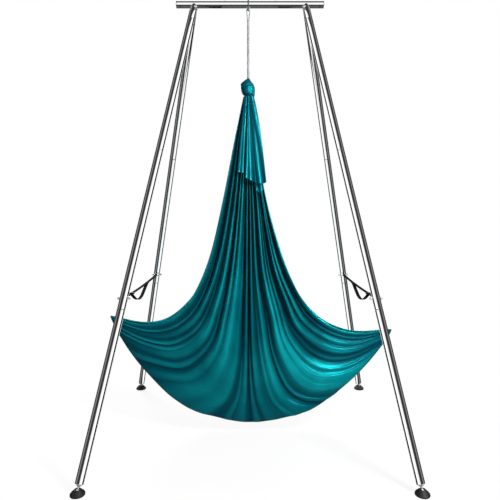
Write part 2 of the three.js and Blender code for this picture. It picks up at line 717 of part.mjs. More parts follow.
// Tails: the two ends of the cloth, hanging from the knot in front of the folds
const levelHeights = levelCurves.map((curve) => curve.getPoint(0.5).z);
function clothFront(height) {
  const next = Math.max(levelHeights.findIndex((level) => level < height), 1);
  const above = levelHeights[next - 1];
  const share = Math.max((above - height) / (above - levelHeights[next]), 0);
  const level = (next - 1 + share) / (levelHeights.length - 1);
  return clothThickness + foldDepth * shareAt(foldDepthShares, level)
    + pocketDepth * shareAt(pocketDepthShares, level);
}

function hammockTail(topShares, hemShares, layer) {
  const columns = 9;
  const rowShares = [0, 0.15, 0.35, 0.6, 0.8, 1];
  const hemCurve = new THREE.CatmullRomCurve3(hemShares.map(([across, down]) => new THREE.Vector3(
    across * knotWidth, 0, -down * clothDrop,
  )));
  return sheetSkin(rowShares.map((share) => Array.from({ length: columns }, (_, i) => {
    const across = i / (columns - 1);
    const from = new THREE.Vector3(THREE.MathUtils.lerp(...topShares, across) * knotWidth, 0, 0);
    const place = from.lerp(hemCurve.getPoint(across), share);
    const foldDeep = tailFoldDepth * (tailFoldStartShare + (1 - tailFoldStartShare) * share);
    const behind = clothFront(place.z) + tailGap + layer * (tailThickness + foldDeep + tailGap);
    place.setY(-(behind + tailThickness + foldDeep * (i % 2)));
    return { outer: place, inner: place.clone().setY(place.y + tailThickness) };
  })));
}
const tailPlace = [hangOffset, 0, clothTop];
piece('hammock_tail_short', hammockTail(shortTopShares, shortHemShares, 0), tealSilk, rig,
  tailPlace);
piece('hammock_tail_long', hammockTail(longTopShares, longHemShares, 1), tealSilk, rig,
  tailPlace);

export default rig;
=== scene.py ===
import json
import math

import bmesh
import bpy
from mathutils import Matrix, Vector

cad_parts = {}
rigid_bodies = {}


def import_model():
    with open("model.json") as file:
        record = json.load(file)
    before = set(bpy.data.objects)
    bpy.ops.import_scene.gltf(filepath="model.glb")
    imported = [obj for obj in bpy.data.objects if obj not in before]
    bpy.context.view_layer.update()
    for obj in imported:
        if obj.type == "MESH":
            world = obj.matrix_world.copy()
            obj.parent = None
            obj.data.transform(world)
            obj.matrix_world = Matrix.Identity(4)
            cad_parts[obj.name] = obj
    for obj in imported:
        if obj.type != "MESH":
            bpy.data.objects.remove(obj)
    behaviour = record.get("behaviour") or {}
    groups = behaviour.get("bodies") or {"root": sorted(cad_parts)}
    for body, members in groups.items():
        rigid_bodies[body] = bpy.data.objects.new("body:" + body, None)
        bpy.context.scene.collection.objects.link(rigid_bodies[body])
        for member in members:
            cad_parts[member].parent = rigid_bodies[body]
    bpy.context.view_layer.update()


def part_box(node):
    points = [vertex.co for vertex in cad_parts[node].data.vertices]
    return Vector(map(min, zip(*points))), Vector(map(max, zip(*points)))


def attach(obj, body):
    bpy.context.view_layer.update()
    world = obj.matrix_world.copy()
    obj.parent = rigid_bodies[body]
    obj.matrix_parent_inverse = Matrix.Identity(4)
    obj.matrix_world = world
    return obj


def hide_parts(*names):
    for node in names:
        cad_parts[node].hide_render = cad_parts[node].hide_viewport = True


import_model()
mm = 0.001
print("frame loaded")

# camera, room and light, in metres
camera = {"place": (0, -3.3135, 1.532), "lens": 34.646, "sensor": 36, "shift": -0.0854}
room = {
    "aim": (0, 0, 1.1),
    "sky": [(0, 0.12), (0.5, 0.22), (1, 0.42)],  # plain light from below, the side and above
    # glossy rays see dark flags with a grey stripe to both sides, for the legs
    "aside": [(0, 0.04), (0.25, 0.03), (0.31, 0.25), (0.44, 0.22), (0.5, 0.03), (1, 0.05)],
    # and a dark front and a grey floor, for the beam
    "over": [(0, 0.08), (0.2, 0.09), (0.24, 0.15), (0.3, 0.13), (0.34, 0.035), (0.43, 0.04),
             (0.6, 0.05), (0.69, 0.06), (0.9, 0.1)],
    "blend": [(0.14, 0.0), (0.22, 1.0)],  # from the beam's view to the legs'
    "floorShade": 0.12,  # how much of the floor's own shade the camera sees
    "fade": [(0.28, 1.0), (0.45, 0.0)],  # of that shade, out to plain white
    "floorSize": 30, "floorDrop": 0.0005,
}
warm, cool = (1, 0.99, 0.97), (0.95, 0.98, 1)
lamps = {  # place, size, power and colour
    "key": ((2.5, -2.9, 3.7), 1.1, 235, warm),
    "fill": ((-2.6, -2.4, 3.0), 1.6, 16, cool),
    "back": ((-2.3, 3.0, 3.4), 1.6, 150, warm),
    "side": ((3.0, 2.0, 2.2), 1.8, 45, cool),
}


def newObject(name, data):
    obj = bpy.data.objects.new(name, data)
    bpy.context.collection.objects.link(obj)
    return obj


def newMesh(name, bm, material):
    mesh = bpy.data.meshes.new(name)
    bm.to_mesh(mesh)
    bm.free()
    mesh.materials.append(material)
    return newObject(name, mesh)


class Nodes:
    # short ways to add and join the nodes of one tree
    def __init__(self, tree):
        self.tree = tree

    def add(self, kind, inputs=None, **settings):
        node = self.tree.nodes.new(kind)
        for key, value in settings.items():
            setattr(node, key, value)
        self.fill(node, inputs or {})
        return node

    def fill(self, node, inputs):
        for key, value in inputs.items():
            if isinstance(value, bpy.types.NodeSocket):
                self.tree.links.new(value, node.inputs[key])
            else:
                node.inputs[key].default_value = value

    def math(self, operation, a, b=0.0, clamp=False):
        return self.add("ShaderNodeMath", {0: a, 1: b}, operation=operation,
                        use_clamp=clamp).outputs[0]

    def mix(self, share, a, b):
        return self.add("ShaderNodeMix", {0: share, 6: a, 7: b}, data_type="RGBA").outputs[2]

    def ramp(self, value, stops):
        node = self.add("ShaderNodeValToRGB", {0: value})
        elements = node.color_ramp.elements
        while len(elements) < len(stops):
            elements.new(0.5)
        for element, (place, color) in zip(elements, stops):
            element.position = place
            element.color = color if isinstance(color, tuple) else (color, color, color, 1)
        return node.outputs[0]

    def noise(self, place, scale, detail, **more):
        return self.add("ShaderNodeTexNoise", {"Vector": place, "Scale": scale, "Detail": detail,
                                               **more}).outputs[0]

    def bump(self, height, strength, distance, **under):
        return self.add("ShaderNodeBump", {"Strength": strength, "Distance": distance,
                                           "Height": height, **under}).outputs[0]

    def group(self, tree, place, **numbers):
        return self.add("ShaderNodeGroup", {"Vector": place, **numbers}, node_tree=tree).outputs

    def place(self):
        return self.add("ShaderNodeTexCoord").outputs["Object"]

    def weave(self):
        return self.add("ShaderNodeUVMap", uv_map="weave").outputs[0]


def buildCamera():
    data = bpy.data.cameras.new("camera")
    data.lens, data.sensor_width = camera["lens"], camera["sensor"]
    data.shift_y = camera["shift"]
    obj = newObject("camera", data)
    obj.location = camera["place"]
    obj.rotation_euler = (math.pi / 2, 0, 0)
    bpy.context.scene.camera = obj
    bpy.context.scene.view_settings.view_transform = "Standard"


def emptyTree(owner):
    owner.use_nodes = True
    owner.node_tree.nodes.clear()
    return Nodes(owner.node_tree)


def buildWorld():
    world = bpy.data.worlds.new("studio")
    bpy.context.scene.world = world
    n = emptyTree(world)
    direction = n.add("ShaderNodeTexCoord").outputs["Generated"]
    axes = n.add("ShaderNodeSeparateXYZ", {0: direction}).outputs
    forward = n.math("MULTIPLY", axes["Y"], -1.0)
    aside = n.math("ABSOLUTE", n.math("ARCTAN2", axes["X"], forward))
    aside = n.ramp(n.math("DIVIDE", aside, math.pi), room["aside"])
    over = n.math("DIVIDE", n.math("ARCTAN2", axes["Z"], forward), 2 * math.pi)
    over = n.ramp(n.math("ADD", over, 0.5), room["over"])
    studio = n.mix(n.ramp(n.math("ABSOLUTE", axes["X"]), room["blend"]), over, aside)
    up = n.math("ADD", n.math("MULTIPLY", axes["Z"], 0.5), 0.5)
    path = n.add("ShaderNodeLightPath").outputs
    color = n.mix(path["Is Glossy Ray"], n.ramp(up, room["sky"]), studio)
    seen = n.math("MAXIMUM", path["Is Camera Ray"], path["Is Transmission Ray"])
    color = n.mix(seen, color, (1, 1, 1, 1))
    background = n.add("ShaderNodeBackground", {"Color": color, "Strength": 1.0})
    n.add("ShaderNodeOutputWorld", {0: background.outputs[0]})


def buildFloor():
    material = bpy.data.materials.new("floor_white")
    n = emptyTree(material)
    paint = n.add("ShaderNodeBsdfDiffuse", {"Color": (0.85, 0.85, 0.85, 1)})
    glow = n.add("ShaderNodeEmission", {"Color": (1, 1, 1, 1), "Strength": 1.0})
    path = n.add("ShaderNodeLightPath").outputs
    out = n.add("ShaderNodeVectorMath", {0: n.place()}, operation="LENGTH").outputs["Value"]
    shade = n.math("MULTIPLY", n.ramp(n.math("MULTIPLY", out, 0.25), room["fade"]),
                   room["floorShade"])
    share = n.math("MULTIPLY", path["Is Camera Ray"], n.math("SUBTRACT", 1.0, shade))
    mixed = n.add("ShaderNodeMixShader", {0: share, 1: paint.outputs[0], 2: glow.outputs[0]})
    n.add("ShaderNodeOutputMaterial", {0: mixed.outputs[0]})
    bm = bmesh.new()
    bmesh.ops.create_grid(bm, x_segments=1, y_segments=1, size=room["floorSize"])
    floor = newMesh("studio_floor", bm, material)
    floor.location.z = -room["floorDrop"]
    floor.visible_glossy = False


chromePieces = bpy.data.collections.new("no_lamp_glare")


def areaLamp(name, power, size, length=None):
    data = bpy.data.lights.new(name, "AREA")
    data.shape = "RECTANGLE" if length else "DISK"
    data.size, data.energy = size, power
    if length:
        data.size_y = length
    return newObject(name, data)


def buildLamps():
    for name, (place, size, power, color) in lamps.items():
        lamp = areaLamp(name, power, size)
        lamp.data.color = color
        lamp.location = place
        aim = Vector(room["aim"]) - Vector(place)
        lamp.rotation_euler = aim.to_track_quat("-Z", "Y").to_euler()
        # the strip lamps, not these, make the chrome's highlights
        lamp.light_linking.receiver_collection = chromePieces


buildCamera()
buildWorld()
buildFloor()
buildLamps()
print("camera, room and lamps set")


def newGroup(name, numbers, outputs):
    # an effect that several materials share
    tree = bpy.data.node_groups.new(name, "ShaderNodeTree")
    add = tree.interface.new_socket
    add("Vector", in_out="INPUT", socket_type="NodeSocketVector")
    for label, value in numbers.items():
        add(label, in_out="INPUT", socket_type="NodeSocketFloat").default_value = value
    for label in outputs:
        add(label, in_out="OUTPUT", socket_type="NodeSocketFloat")
    n = Nodes(tree)
    return n, n.add("NodeGroupInput").outputs, n.add("NodeGroupOutput")


def handledGroup():
    # faint smudges and hairline scratches, for roughness
    n, given, out = newGroup("handled_metal", {"Clean": 0.06, "Smudged": 0.16},
                             ("Roughness", "Height"))
    patch = n.ramp(n.noise(given["Vector"], 9.0, 4.0), [(0.45, 0.0), (0.75, 1.0)])
    rough = n.add("ShaderNodeMix", {0: patch, 2: given["Clean"], 3: given["Smudged"]})
    long = n.add("ShaderNodeMapping", {"Vector": given["Vector"], "Scale": (1, 1, 0.03)})
    n.fill(out, {"Roughness": rough.outputs[0], "Height": n.noise(long.outputs[0], 900.0, 2.0)})
    return n.tree


def threadsGroup():
    # crossed threads on a flat pattern given in metres
    n, given, out = newGroup("threads", {"Across": 0.001, "Along": 0.001}, ("Height", "ShadeInGaps"))
    axes = n.add("ShaderNodeSeparateXYZ", {0: given["Vector"]}).outputs
    waves = []
    for axis, pitch in (("X", "Across"), ("Y", "Along")):
        turn = n.math("MULTIPLY", n.math("DIVIDE", axes[axis], given[pitch]), math.pi)
        waves.append(n.math("ABSOLUTE", n.math("SINE", turn)))
    height = n.math("MULTIPLY", *waves)
    # the gaps between the threads, for painted shade
    n.fill(out, {"Height": height, "ShadeInGaps": n.math("SUBTRACT", 1.0, height, clamp=True)})
    return n.tree


def creaseGroup():
    # fine creases and pulled streaks that follow the length of a cloth
    n, given, out = newGroup("creases", {"Stretch": 0.12, "Scale": 20.0}, ("Height", "Shade"))
    squeeze = n.add("ShaderNodeCombineXYZ", {0: 1.0, 1: given["Stretch"], 2: 1.0}).outputs[0]
    drawn = n.add("ShaderNodeVectorMath", {0: given["Vector"], 1: squeeze}, operation="MULTIPLY")
    streak = n.noise(drawn.outputs[0], given["Scale"], 5.0, Roughness=0.55, Distortion=0.4)
    broad = n.noise(given["Vector"], 3.0, 2.0)
    n.fill(out, {"Height": n.math("MULTIPLY", streak, broad), "Shade": broad})
    return n.tree


handled, threads, creases = handledGroup(), threadsGroup(), creaseGroup()


def newMaterial(name):
    material = bpy.data.materials.new(name)
    material.use_nodes = True
    return material, Nodes(material.node_tree), material.node_tree.nodes["Principled BSDF"]


def metal(name, color, clean, smudged, scratch, plating=1.0):
    material, n, shader = newMaterial(name)
    use = n.group(handled, n.place(), Clean=clean, Smudged=smudged)
    n.fill(shader, {"Base Color": color, "Metallic": plating, "Roughness": use["Roughness"],
                    "Normal": n.bump(use["Height"], scratch, 0.0002)})
    return material


def moulded(name, color, rough):
    material, n, shader = newMaterial(name)
    place = n.place()
    use = n.group(handled, place, Clean=rough, Smudged=rough + 0.15)
    dusty = tuple(c * 1.9 for c in color[:3]) + (1,)
    n.fill(shader, {"Base Color": n.ramp(n.noise(place, 30.0, 6.0), [(0.35, color), (0.8, dusty)]),
                    "Roughness": use["Roughness"],
                    "Normal": n.bump(n.noise(place, 1400.0, 2.0), 0.35, 0.0003)})
    return material


def webbingMaterial():
    material, n, shader = newMaterial("webbing")
    use = n.group(threads, n.weave(), Across=0.0016, Along=0.0022)
    # painted shade in the gaps between the threads
    color = n.mix(use["ShadeInGaps"], (0.003, 0.003, 0.0035, 1), (0.0005, 0.0005, 0.0008, 1))
    n.fill(shader, {"Base Color": color, "Roughness": 0.9, "Specular IOR Level": 0.06,
                    "Normal": n.bump(use["Height"], 0.8, 0.0004)})
    return material


def ropeMaterial(name, dark, light, glow=0.0):
    # glow is how much light the fibres carry round to the dark side
    material, n, shader = newMaterial(name)
    place = n.place()
    n.fill(shader, {"Base Color": n.ramp(n.noise(place, 26.0, 3.0), [(0.3, dark), (0.7, light)]),
                    "Roughness": 0.8, "Subsurface Weight": glow,
                    "Subsurface Radius": (1, 1, 1), "Subsurface Scale": 0.012,
                    "Normal": n.bump(n.noise(place, 420.0, 4.0), 0.6, 0.0008)})
    return material


silk = {
    "shadedHollow": (0.0, 0.03, 0.055, 1),  # painted shade in the hollows of the folds
    "deep": (0.001, 0.36, 0.43, 1), "bright": (0.008, 0.66, 0.74, 1),
    "streaks": [(0.35, 0.0), (0.65, 1.0)],
    "rise": [(0.0, 0.0), (0.2, 0.06), (0.45, 0.36), (0.85, 1.0)],  # painted shade, from the hollow to the ridge
    "shine": [(0.05, 0.1), (0.6, 1.0)],
    "metallic": 0.6, "roughness": 0.35, "gloss": 0.25, "glow": (0.25, 0.9, 1, 1),
    "knit": 0.0011,  # between the ribs of the knit
}


def silkMaterial():
    material, n, shader = newMaterial("teal_silk")
    place = n.weave()
    knit = n.group(threads, place, Across=silk["knit"], Along=silk["knit"] * 1.4)
    pull = n.group(creases, place, Stretch=0.07, Scale=34.0)
    color = n.mix(n.ramp(pull["Shade"], silk["streaks"]), silk["deep"], silk["bright"])
    rise = n.add("ShaderNodeAttribute", attribute_name="rise").outputs["Fac"]
    # painted shade: the colour darkens into the hollows by the fold's rise
    color = n.mix(n.ramp(rise, silk["rise"]), silk["shadedHollow"], color)
    # painted shade between the ribs of the knit
    color = n.mix(n.math("MULTIPLY", knit["ShadeInGaps"], 0.25), color, (0.0, 0.03, 0.04, 1))
    # the gloss fades in the hollows too, with the painted shade
    shine = n.ramp(rise, silk["shine"])
    n.fill(shader, {
        "Base Color": color, "Metallic": n.math("MULTIPLY", shine, silk["metallic"]),
        "Specular IOR Level": n.math("MULTIPLY", shine, silk["gloss"]),
        "Specular Tint": silk["glow"], "Roughness": silk["roughness"],
        "Sheen Weight": 0.05, "Sheen Tint": (0.1, 0.8, 0.9, 1),
        "Normal": n.bump(knit["Height"], 0.35, 0.0003, Normal=n.bump(pull["Height"], 0.8, 0.016))})
    return material


chrome = metal("chromed_tube", (0.93, 0.935, 0.94, 1), 0.05, 0.1, 0.02)
zinc = metal("zinc_fittings", (0.72, 0.73, 0.74, 1), 0.34, 0.48, 0.1, 0.45)
# unplated steel, coloured near black as painted shade in the legs' open seams
spigotSeamShade = metal("worn_spigot", (0.05, 0.05, 0.055, 1), 0.45, 0.6, 0.2, 0.6)
padRubber = moulded("foot_pad", (0.005, 0.005, 0.0055, 1), 0.6)
bucklePlastic = moulded("buckle", (0.01, 0.01, 0.01, 1), 0.4)
stitchThread = moulded("stitch_thread", (0.035, 0.035, 0.037, 1), 0.7)
webbing = webbingMaterial()
ropeWhite = ropeMaterial("rope", (0.25, 0.26, 0.27, 1), (0.34, 0.35, 0.36, 1), 0.8)
slingGrey = ropeMaterial("sling_cord", (0.02, 0.02, 0.021, 1), (0.1, 0.1, 0.105, 1))
tealSilk = silkMaterial()
flagBlack, flagNodes, flagShader = newMaterial("flag_black")
flagNodes.fill(flagShader, {"Base Color": (0.02, 0.02, 0.02, 1), "Roughness": 1.0,
                            "Specular IOR Level": 0.0})
print("materials made")


def makePiece(bm, name, body, material, replaced=(), smoothUnder=40):
    # shapes are made in millimetres, and become metres here
    bmesh.ops.scale(bm, vec=(mm, mm, mm), verts=bm.verts)
    for face in bm.faces:
        face.smooth = True
    limit = math.radians(smoothUnder)
    for edge in bm.edges:
        edge.smooth = not edge.is_manifold or edge.calc_face_angle(0) < limit
    obj = newMesh(name, bm, material)
    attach(obj, body)
    if replaced:
        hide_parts(*replaced)
    if material is chrome:
        chromePieces.objects.link(obj)
        chromePieces.collection_objects[-1].light_linking.link_state = "EXCLUDE"
    return obj


def shift(*place):
    return Matrix.Translation(place)


def turn(degrees, axis):
    return Matrix.Rotation(math.radians(degrees), 4, axis)


def moved(bm, matrix):
    bmesh.ops.transform(bm, matrix=matrix, verts=bm.verts)
    return bm


def joined(parts):
    whole = bmesh.new()
    for part in parts:
        mesh = bpy.data.meshes.new("part")
        part.to_mesh(mesh)
        part.free()
        whole.from_mesh(mesh)
        bpy.data.meshes.remove(mesh)
    return whole


def cleaned(bm, gap=0.001):
    bmesh.ops.remove_doubles(bm, verts=bm.verts, dist=gap)
    bmesh.ops.recalc_face_normals(bm, faces=bm.faces)
    return bm


def spun(profile, **how):
    # (radius, height) pairs, spun about Z
    bm = bmesh.new()
    verts = [bm.verts.new((radius, 0, height)) for radius, height in profile]
    for pair in zip(verts, verts[1:]):
        bm.edges.new(pair)
    bmesh.ops.spin(bm, geom=bm.verts[:] + bm.edges[:], cent=(0, 0, 0), axis=(0, 0, 1),
                   use_duplicate=False, **how)
    return bm


def turned(profile, steps=64):
    return cleaned(spun(profile, dvec=(0, 0, 0), angle=2 * math.pi, steps=steps, use_merge=True))


def cutOff(bm, place, normal):
    # what lies beyond the plane goes
    bmesh.ops.bisect_plane(bm, geom=bm.verts[:] + bm.edges[:] + bm.faces[:], plane_co=place,
                           plane_no=normal, clear_outer=True)
    return bm


def skinned(bm, rings, closed=False):
    # faces between rings of corners, with flat ends unless the rings close
    for a, b in zip(rings, rings[1:] + rings[:1] if closed else rings[1:]):
        for k, corner in enumerate(a):
            last = (k + 1) % len(a)
            bm.faces.new((corner, a[last], b[last], b[k]))
    if not closed:
        bm.faces.new(rings[0][::-1])
        bm.faces.new(rings[-1])
    bmesh.ops.recalc_face_normals(bm, faces=bm.faces)
    return bm


def extruded(bm, edges, step):
    # the edges drawn out by a step; gives the new edges
    grown = bmesh.ops.extrude_edge_only(bm, edges=edges)["geom"]
    bmesh.ops.translate(bm, verts=[v for v in grown if isinstance(v, bmesh.types.BMVert)], vec=step)
    return [item for item in grown if isinstance(item, bmesh.types.BMEdge)]


def mapWeave(bm, spot):
    # the pattern of the weave, in metres
    uv = bm.loops.layers.uv.new("weave")
    for face in bm.faces:
        for loop in face.loops:
            loop[uv].uv = spot(loop.vert)


def between(a, b, c, d, t):
    # share t of the way from b to c on a Catmull-Rom line
    return 0.5 * (2 * b + (c - a) * t + (2 * a - 5 * b + 4 * c - d) * t * t
                  + (3 * b - a - 3 * c + d) * t ** 3)


def smoothLine(points, steps):
    points = [Vector(p) for p in points]
    ends = [points[0] * 2 - points[1]] + points + [points[-1] * 2 - points[-2]]
    return [between(*ends[i:i + 4], k / steps) for i in range(len(ends) - 3)
            for k in range(steps)] + points[-1:]


def alongPoints(points, t):
    # place at share t of the whole line
    last = len(points) - 1
    i = min(int(t * last), last - 1)
    b, c = points[i], points[i + 1]
    a = points[i - 1] if i > 0 else b * 2 - c
    d = points[i + 2] if i + 2 <= last else c * 2 - b
    return between(a, b, c, d, t * last - i)


def arcPairs(radius, start, stop, steps, center=(0, 0)):
    turns = [math.radians(start + (stop - start) * i / steps) for i in range(steps + 1)]
    return [(center[0] + radius * math.cos(a), center[1] + radius * math.sin(a)) for a in turns]


def wire(points, radius, sides):
    # a round wire through points, with caps
    data = bpy.data.curves.new("wire", "CURVE")
    data.dimensions = "3D"
    data.bevel_depth = radius
    data.bevel_resolution = sides // 4
    data.use_fill_caps = True
    spline = data.splines.new("POLY")
    spline.points.add(len(points) - 1)
    for point, place in zip(spline.points, points):
        point.co = (*place, 1)
    obj = bpy.data.objects.new("wire", data)
    mesh = bpy.data.meshes.new_from_object(obj)
    bm = bmesh.new()
    bm.from_mesh(mesh)
    for store, item in ((bpy.data.objects, obj), (bpy.data.curves, data), (bpy.data.meshes, mesh)):
        store.remove(item)
    return cleaned(bm)


def thicken(obj, thickness):
    solid = obj.modifiers.new("thickness", "SOLIDIFY")
    solid.thickness = thickness * mm
    solid.offset = 0
    solid.use_rim = True


def lengthOf(points):
    return sum(math.dist(a, b) for a, b in zip(points, points[1:]))


# beam and legs, in millimetres
beam = {
    "height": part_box("top_beam")[1][2] / mm - 25, "radius": 25, "wall": 2.5, "half": 507,
    "cap": 3, "plug": 18,
}
leg = {
    "radius": 24, "wall": 2, "top": 382, "footSpread": 919, "footReach": 750, "ball": 20,
    "seams": (118, 1088, 2088), "end": 3012.7, "drawnIn": 40,
    "lip": 2,  # rounded lip of each tube
    "gap": 1.1,  # each tube's share of the open seam
    "bead": (24, -26.8, 4, 3.5),  # weld round the socket: its place and its half sizes
    "mitre": 0.15,  # what each socket of a pair leaves free
    "spigot": (-0.6, -0.05, -4, 2.5),  # its skins from the bore, its ends from the seam
}
sides = {"left": -1, "right": 1}
ends = {"front": -1, "back": 1}
corners = [(f"{endName}_{sideName}", side, end) for sideName, side in sides.items()
           for endName, end in ends.items()]


def buildBeam():
    r, half = beam["radius"], beam["half"]
    seat, inner = half - beam["cap"], r - beam["wall"]
    edge, plug, low = seat - 0.3, inner - 0.3, seat - beam["plug"]
    lay = shift(0, 0, beam["height"]) @ turn(90, "Y")
    tube = turned([(inner, -edge), (r - 0.4, -edge), (r, 0.4 - edge), (r, edge - 0.4),
                   (r - 0.4, edge), (inner, edge), (inner, -edge)], 96)
    makePiece(moved(tube, lay), "beam_tube", "stand", chrome, ["top_beam"])
    for name, way in sides.items():
        end = turned([(0, low), (plug, low), (plug, seat), (r, seat), (r, seat + 1),
                      (r - 0.5, half - 0.9), (r - 2, half), (r * 0.6, half + 0.3),
                      (0, half + 0.5)], 96)
        flip = turn(0 if way > 0 else 180, "X")
        makePiece(moved(end, lay @ flip), f"beam_end_{name}", "stand", chrome,
                  [f"beam_cap_{name}"])


def legEnds(side, end):
    # the leg's place on the beam's axis, and the ball of its foot
    return (Vector((side * leg["top"], 0, beam["height"])),
            Vector((side * leg["footSpread"], end * leg["footReach"], leg["ball"])))


def legMatrix(side, end):
    top, ball = legEnds(side, end)
    lean = Vector((0, 0, 1)).rotation_difference(top - ball)
    return shift(*top) @ lean.to_matrix().to_4x4()


def legTube(start, end, plugged):
    # one slip-jointed tube down the leg, its lower end drawn in
    r, wall, lip = leg["radius"], leg["wall"], leg["lip"]
    inner = r - wall
    neck, low = inner - 0.3, -end + (leg["gap"] if plugged else 0)
    top = -start - (leg["gap"] if start else 0)
    profile = [(inner, top), (r - 0.5 * lip, top), (r, top - 0.5 * lip)]
    if plugged:
        tip = low - leg["drawnIn"]
        profile += [(r, low + 4), (r - 0.7, low + 1.7), (r - 1.8, low + 0.3), (neck, low),
                    (neck, tip), (neck - wall, tip), (neck - wall, low + 6), (inner, low + 12)]
    else:
        profile += [(r, low + lip), (r - lip, low), (inner, low)]
    return turned(profile + profile[:1])


def buildLegs():
    stops = [0, *leg["seams"], leg["end"]]
    bore = leg["radius"] - leg["wall"]
    out, down, wide, high = leg["bead"]
    inner, outer, low, top = leg["spigot"]
    outline = [(inner, low), (outer, low), (outer, top), (inner, top), (inner, low)]
    for corner, side, end in corners:
        place = legMatrix(side, end)
        for kind, start, stop in zip(("socket", "upper_tube", "middle_tube", "lower_tube"),
                                     stops, stops[1:]):
            tube = moved(legTube(start, stop, kind != "lower_tube"), place)
            if kind == "socket":
                bead = turned([(out + wide * x, down + high * y)
                               for x, y in arcPairs(1, 0, 360, 8)], 48)
                tube = joined([tube, moved(bead, place)])
                cutOff(tube, (0, end * leg["mitre"], 0), (0, -end, 0))
            name = f"{kind}_{corner}"
            makePiece(tube, f"chromed_{name}", "stand", chrome, [f"leg_{name}"])
        # the unplated spigots that show in the open seams, near black as painted shade in the seams
        spigots = [turned([(bore + x, y - seam) for x, y in outline]) for seam in leg["seams"]]
        makePiece(moved(joined(spigots), place), f"worn_spigots_{corner}", "stand", spigotSeamShade)


buildBeam()
buildLegs()
print("beam and legs built")

# strip lamps along each tube, as a studio puts them, each for the chrome of its own tube;
# in metres
strip = {
    "near": 0.5, "nearTurn": 12, "far": 0.26, "top": 0.1, "low": 3.3,
    "front": (-1, 82), "back": (1, 46),  # which way, and the turn of the lamp's far edge
    "flag": 0.2, "flagTurns": (84, 140),  # black, between a front leg and the cloth
    "beam": {"front": (-24, 37), "back": (94, 160)}, "overBeam": 0.3, "beamHalf": 0.75,
    "white": 0.98,
}


def hideFrom(obj, *rays):
    for ray in ("camera", "diffuse", "transmission", "volume_scatter", *rays):
        setattr(obj, f"visible_{ray}", False)


def placeStrip(start, edge, along, tubeAt, name, tubes):
    # a rectangle from the start over the edge and along, lit towards the tube
    run = along.normalized()
    width = edge - run * edge.dot(run)
    middle = start + edge / 2 + along / 2
    across = width.normalized()
    away = across.cross(run)
    if away.dot(middle - tubeAt) < 0:
        away.negate()
    power = math.pi * width.length * along.length * strip["white"]  # bright as paper
    lamp = areaLamp(name, power, width.length, along.length)
    lamp.matrix_world = (Matrix.Translation(middle)
                         @ Matrix((across, away.cross(across), away)).transposed().to_4x4())
    hideFrom(lamp)
    chosen = bpy.data.collections.new(f"{name}_tube")
    for tube in tubes:
        chosen.objects.link(tube)
    lamp.light_linking.receiver_collection = chosen


def placeFlag(start, edge, along, name):
    bm = bmesh.new()
    side = bm.edges.new([bm.verts.new(start), bm.verts.new(start + edge)])
    extruded(bm, [side], along)
    flag = newMesh(name, bm, flagBlack)
    hideFrom(flag, "shadow")


def besideLeg(reach, degrees, side, way):
    a = math.radians(degrees)
    return Vector((-side * math.sin(a), way * math.cos(a), 0)) * reach


def placeStrips():
    for corner, side, end in corners:
        top, ball = [place * mm for place in legEnds(side, end)]
        down = (ball - top).normalized()
        tubes = [obj for obj in bpy.data.objects if obj.name.startswith("chromed_")
                 and obj.name.endswith(corner)]
        start, along = top - down * strip["top"], down * (strip["low"] + strip["top"])
        for face in ends:
            way, last = strip[face]
            near = besideLeg(strip["near"], strip["nearTurn"], side, way)
            far = besideLeg(strip["far"], last, side, way)
            placeStrip(start + near, far - near, along, start + along / 2,
                       f"strip_{face}_of_{corner}", tubes)
        if end < 0:
            near, far = [besideLeg(strip["flag"], at, side, -1) for at in strip["flagTurns"]]
            placeFlag(start + near, far - near, along, corner.replace("front", "flag"))
    # two over the beam, a dark gap between them
    axis = Vector((0, 0, beam["height"])) * mm
    for name, turns in strip["beam"].items():
        low, high = [Vector((-strip["beamHalf"], -strip["overBeam"] * math.cos(a),
                             strip["overBeam"] * math.sin(a))) for a in map(math.radians, turns)]
        placeStrip(axis + low, high - low, Vector((2 * strip["beamHalf"], 0, 0)), axis,
                   f"strip_{name}_of_beam", [bpy.data.objects["beam_tube"]])


placeStrips()
print("strip lamps placed")

# feet, in millimetres
foot = {
    "axis": 3050.8,  # from the beam's axis to the ball, along the leg
    "ballRadius": 10, "neckRadius": 4.5, "neckTop": 14,
    "threadRadius": 6, "threadRoot": 5.3, "pitch": 1.75, "threadTop": 66, "stemTop": 100,
    "nutFlats": 24, "nutHeight": 10, "nutAt": 25,
    "insertAt": 35.3, "insertFlange": 2.5, "insertDepth": 25,
    "padRadius": 40, "padRim": 8, "padHeight": 31, "padTop": 16.5, "padMouth": 14,
    "dome": [(34, 13.6), (27, 21), (20.8, 27)],  # radius and height of its points
    "grip": 5,  # how far over its middle the socket holds the ball
    "ribs": 12, "rib": (19, 1.6, 9), "ribAt": (27.5, 0, 23),
    "ribEnd": (0.6, 0.35, 11.4),  # shares of its width and height, and how far down
}


def hexRing(flats, height, bore, steps=72):
    # a hexagon nut with turned chamfers, standing on z = 0
    corner, bevel, face = flats / math.sqrt(3), 0.8, flats * 0.485
    bm = turned([(bore, bevel), (bore + bevel, 0), (face, 0), (corner, height * 0.13),
                 (corner, height * 0.87), (face, height), (bore + bevel, height),
                 (bore, height - bevel), (bore, bevel)], steps)
    for vert in bm.verts:
        angle = math.atan2(vert.co.y, vert.co.x) % (math.pi / 3) - math.pi / 6
        share = flats / 2 / math.cos(angle) / math.hypot(vert.co.x, vert.co.y)
        if share < 1:
            vert.co.xy *= share
    return bm


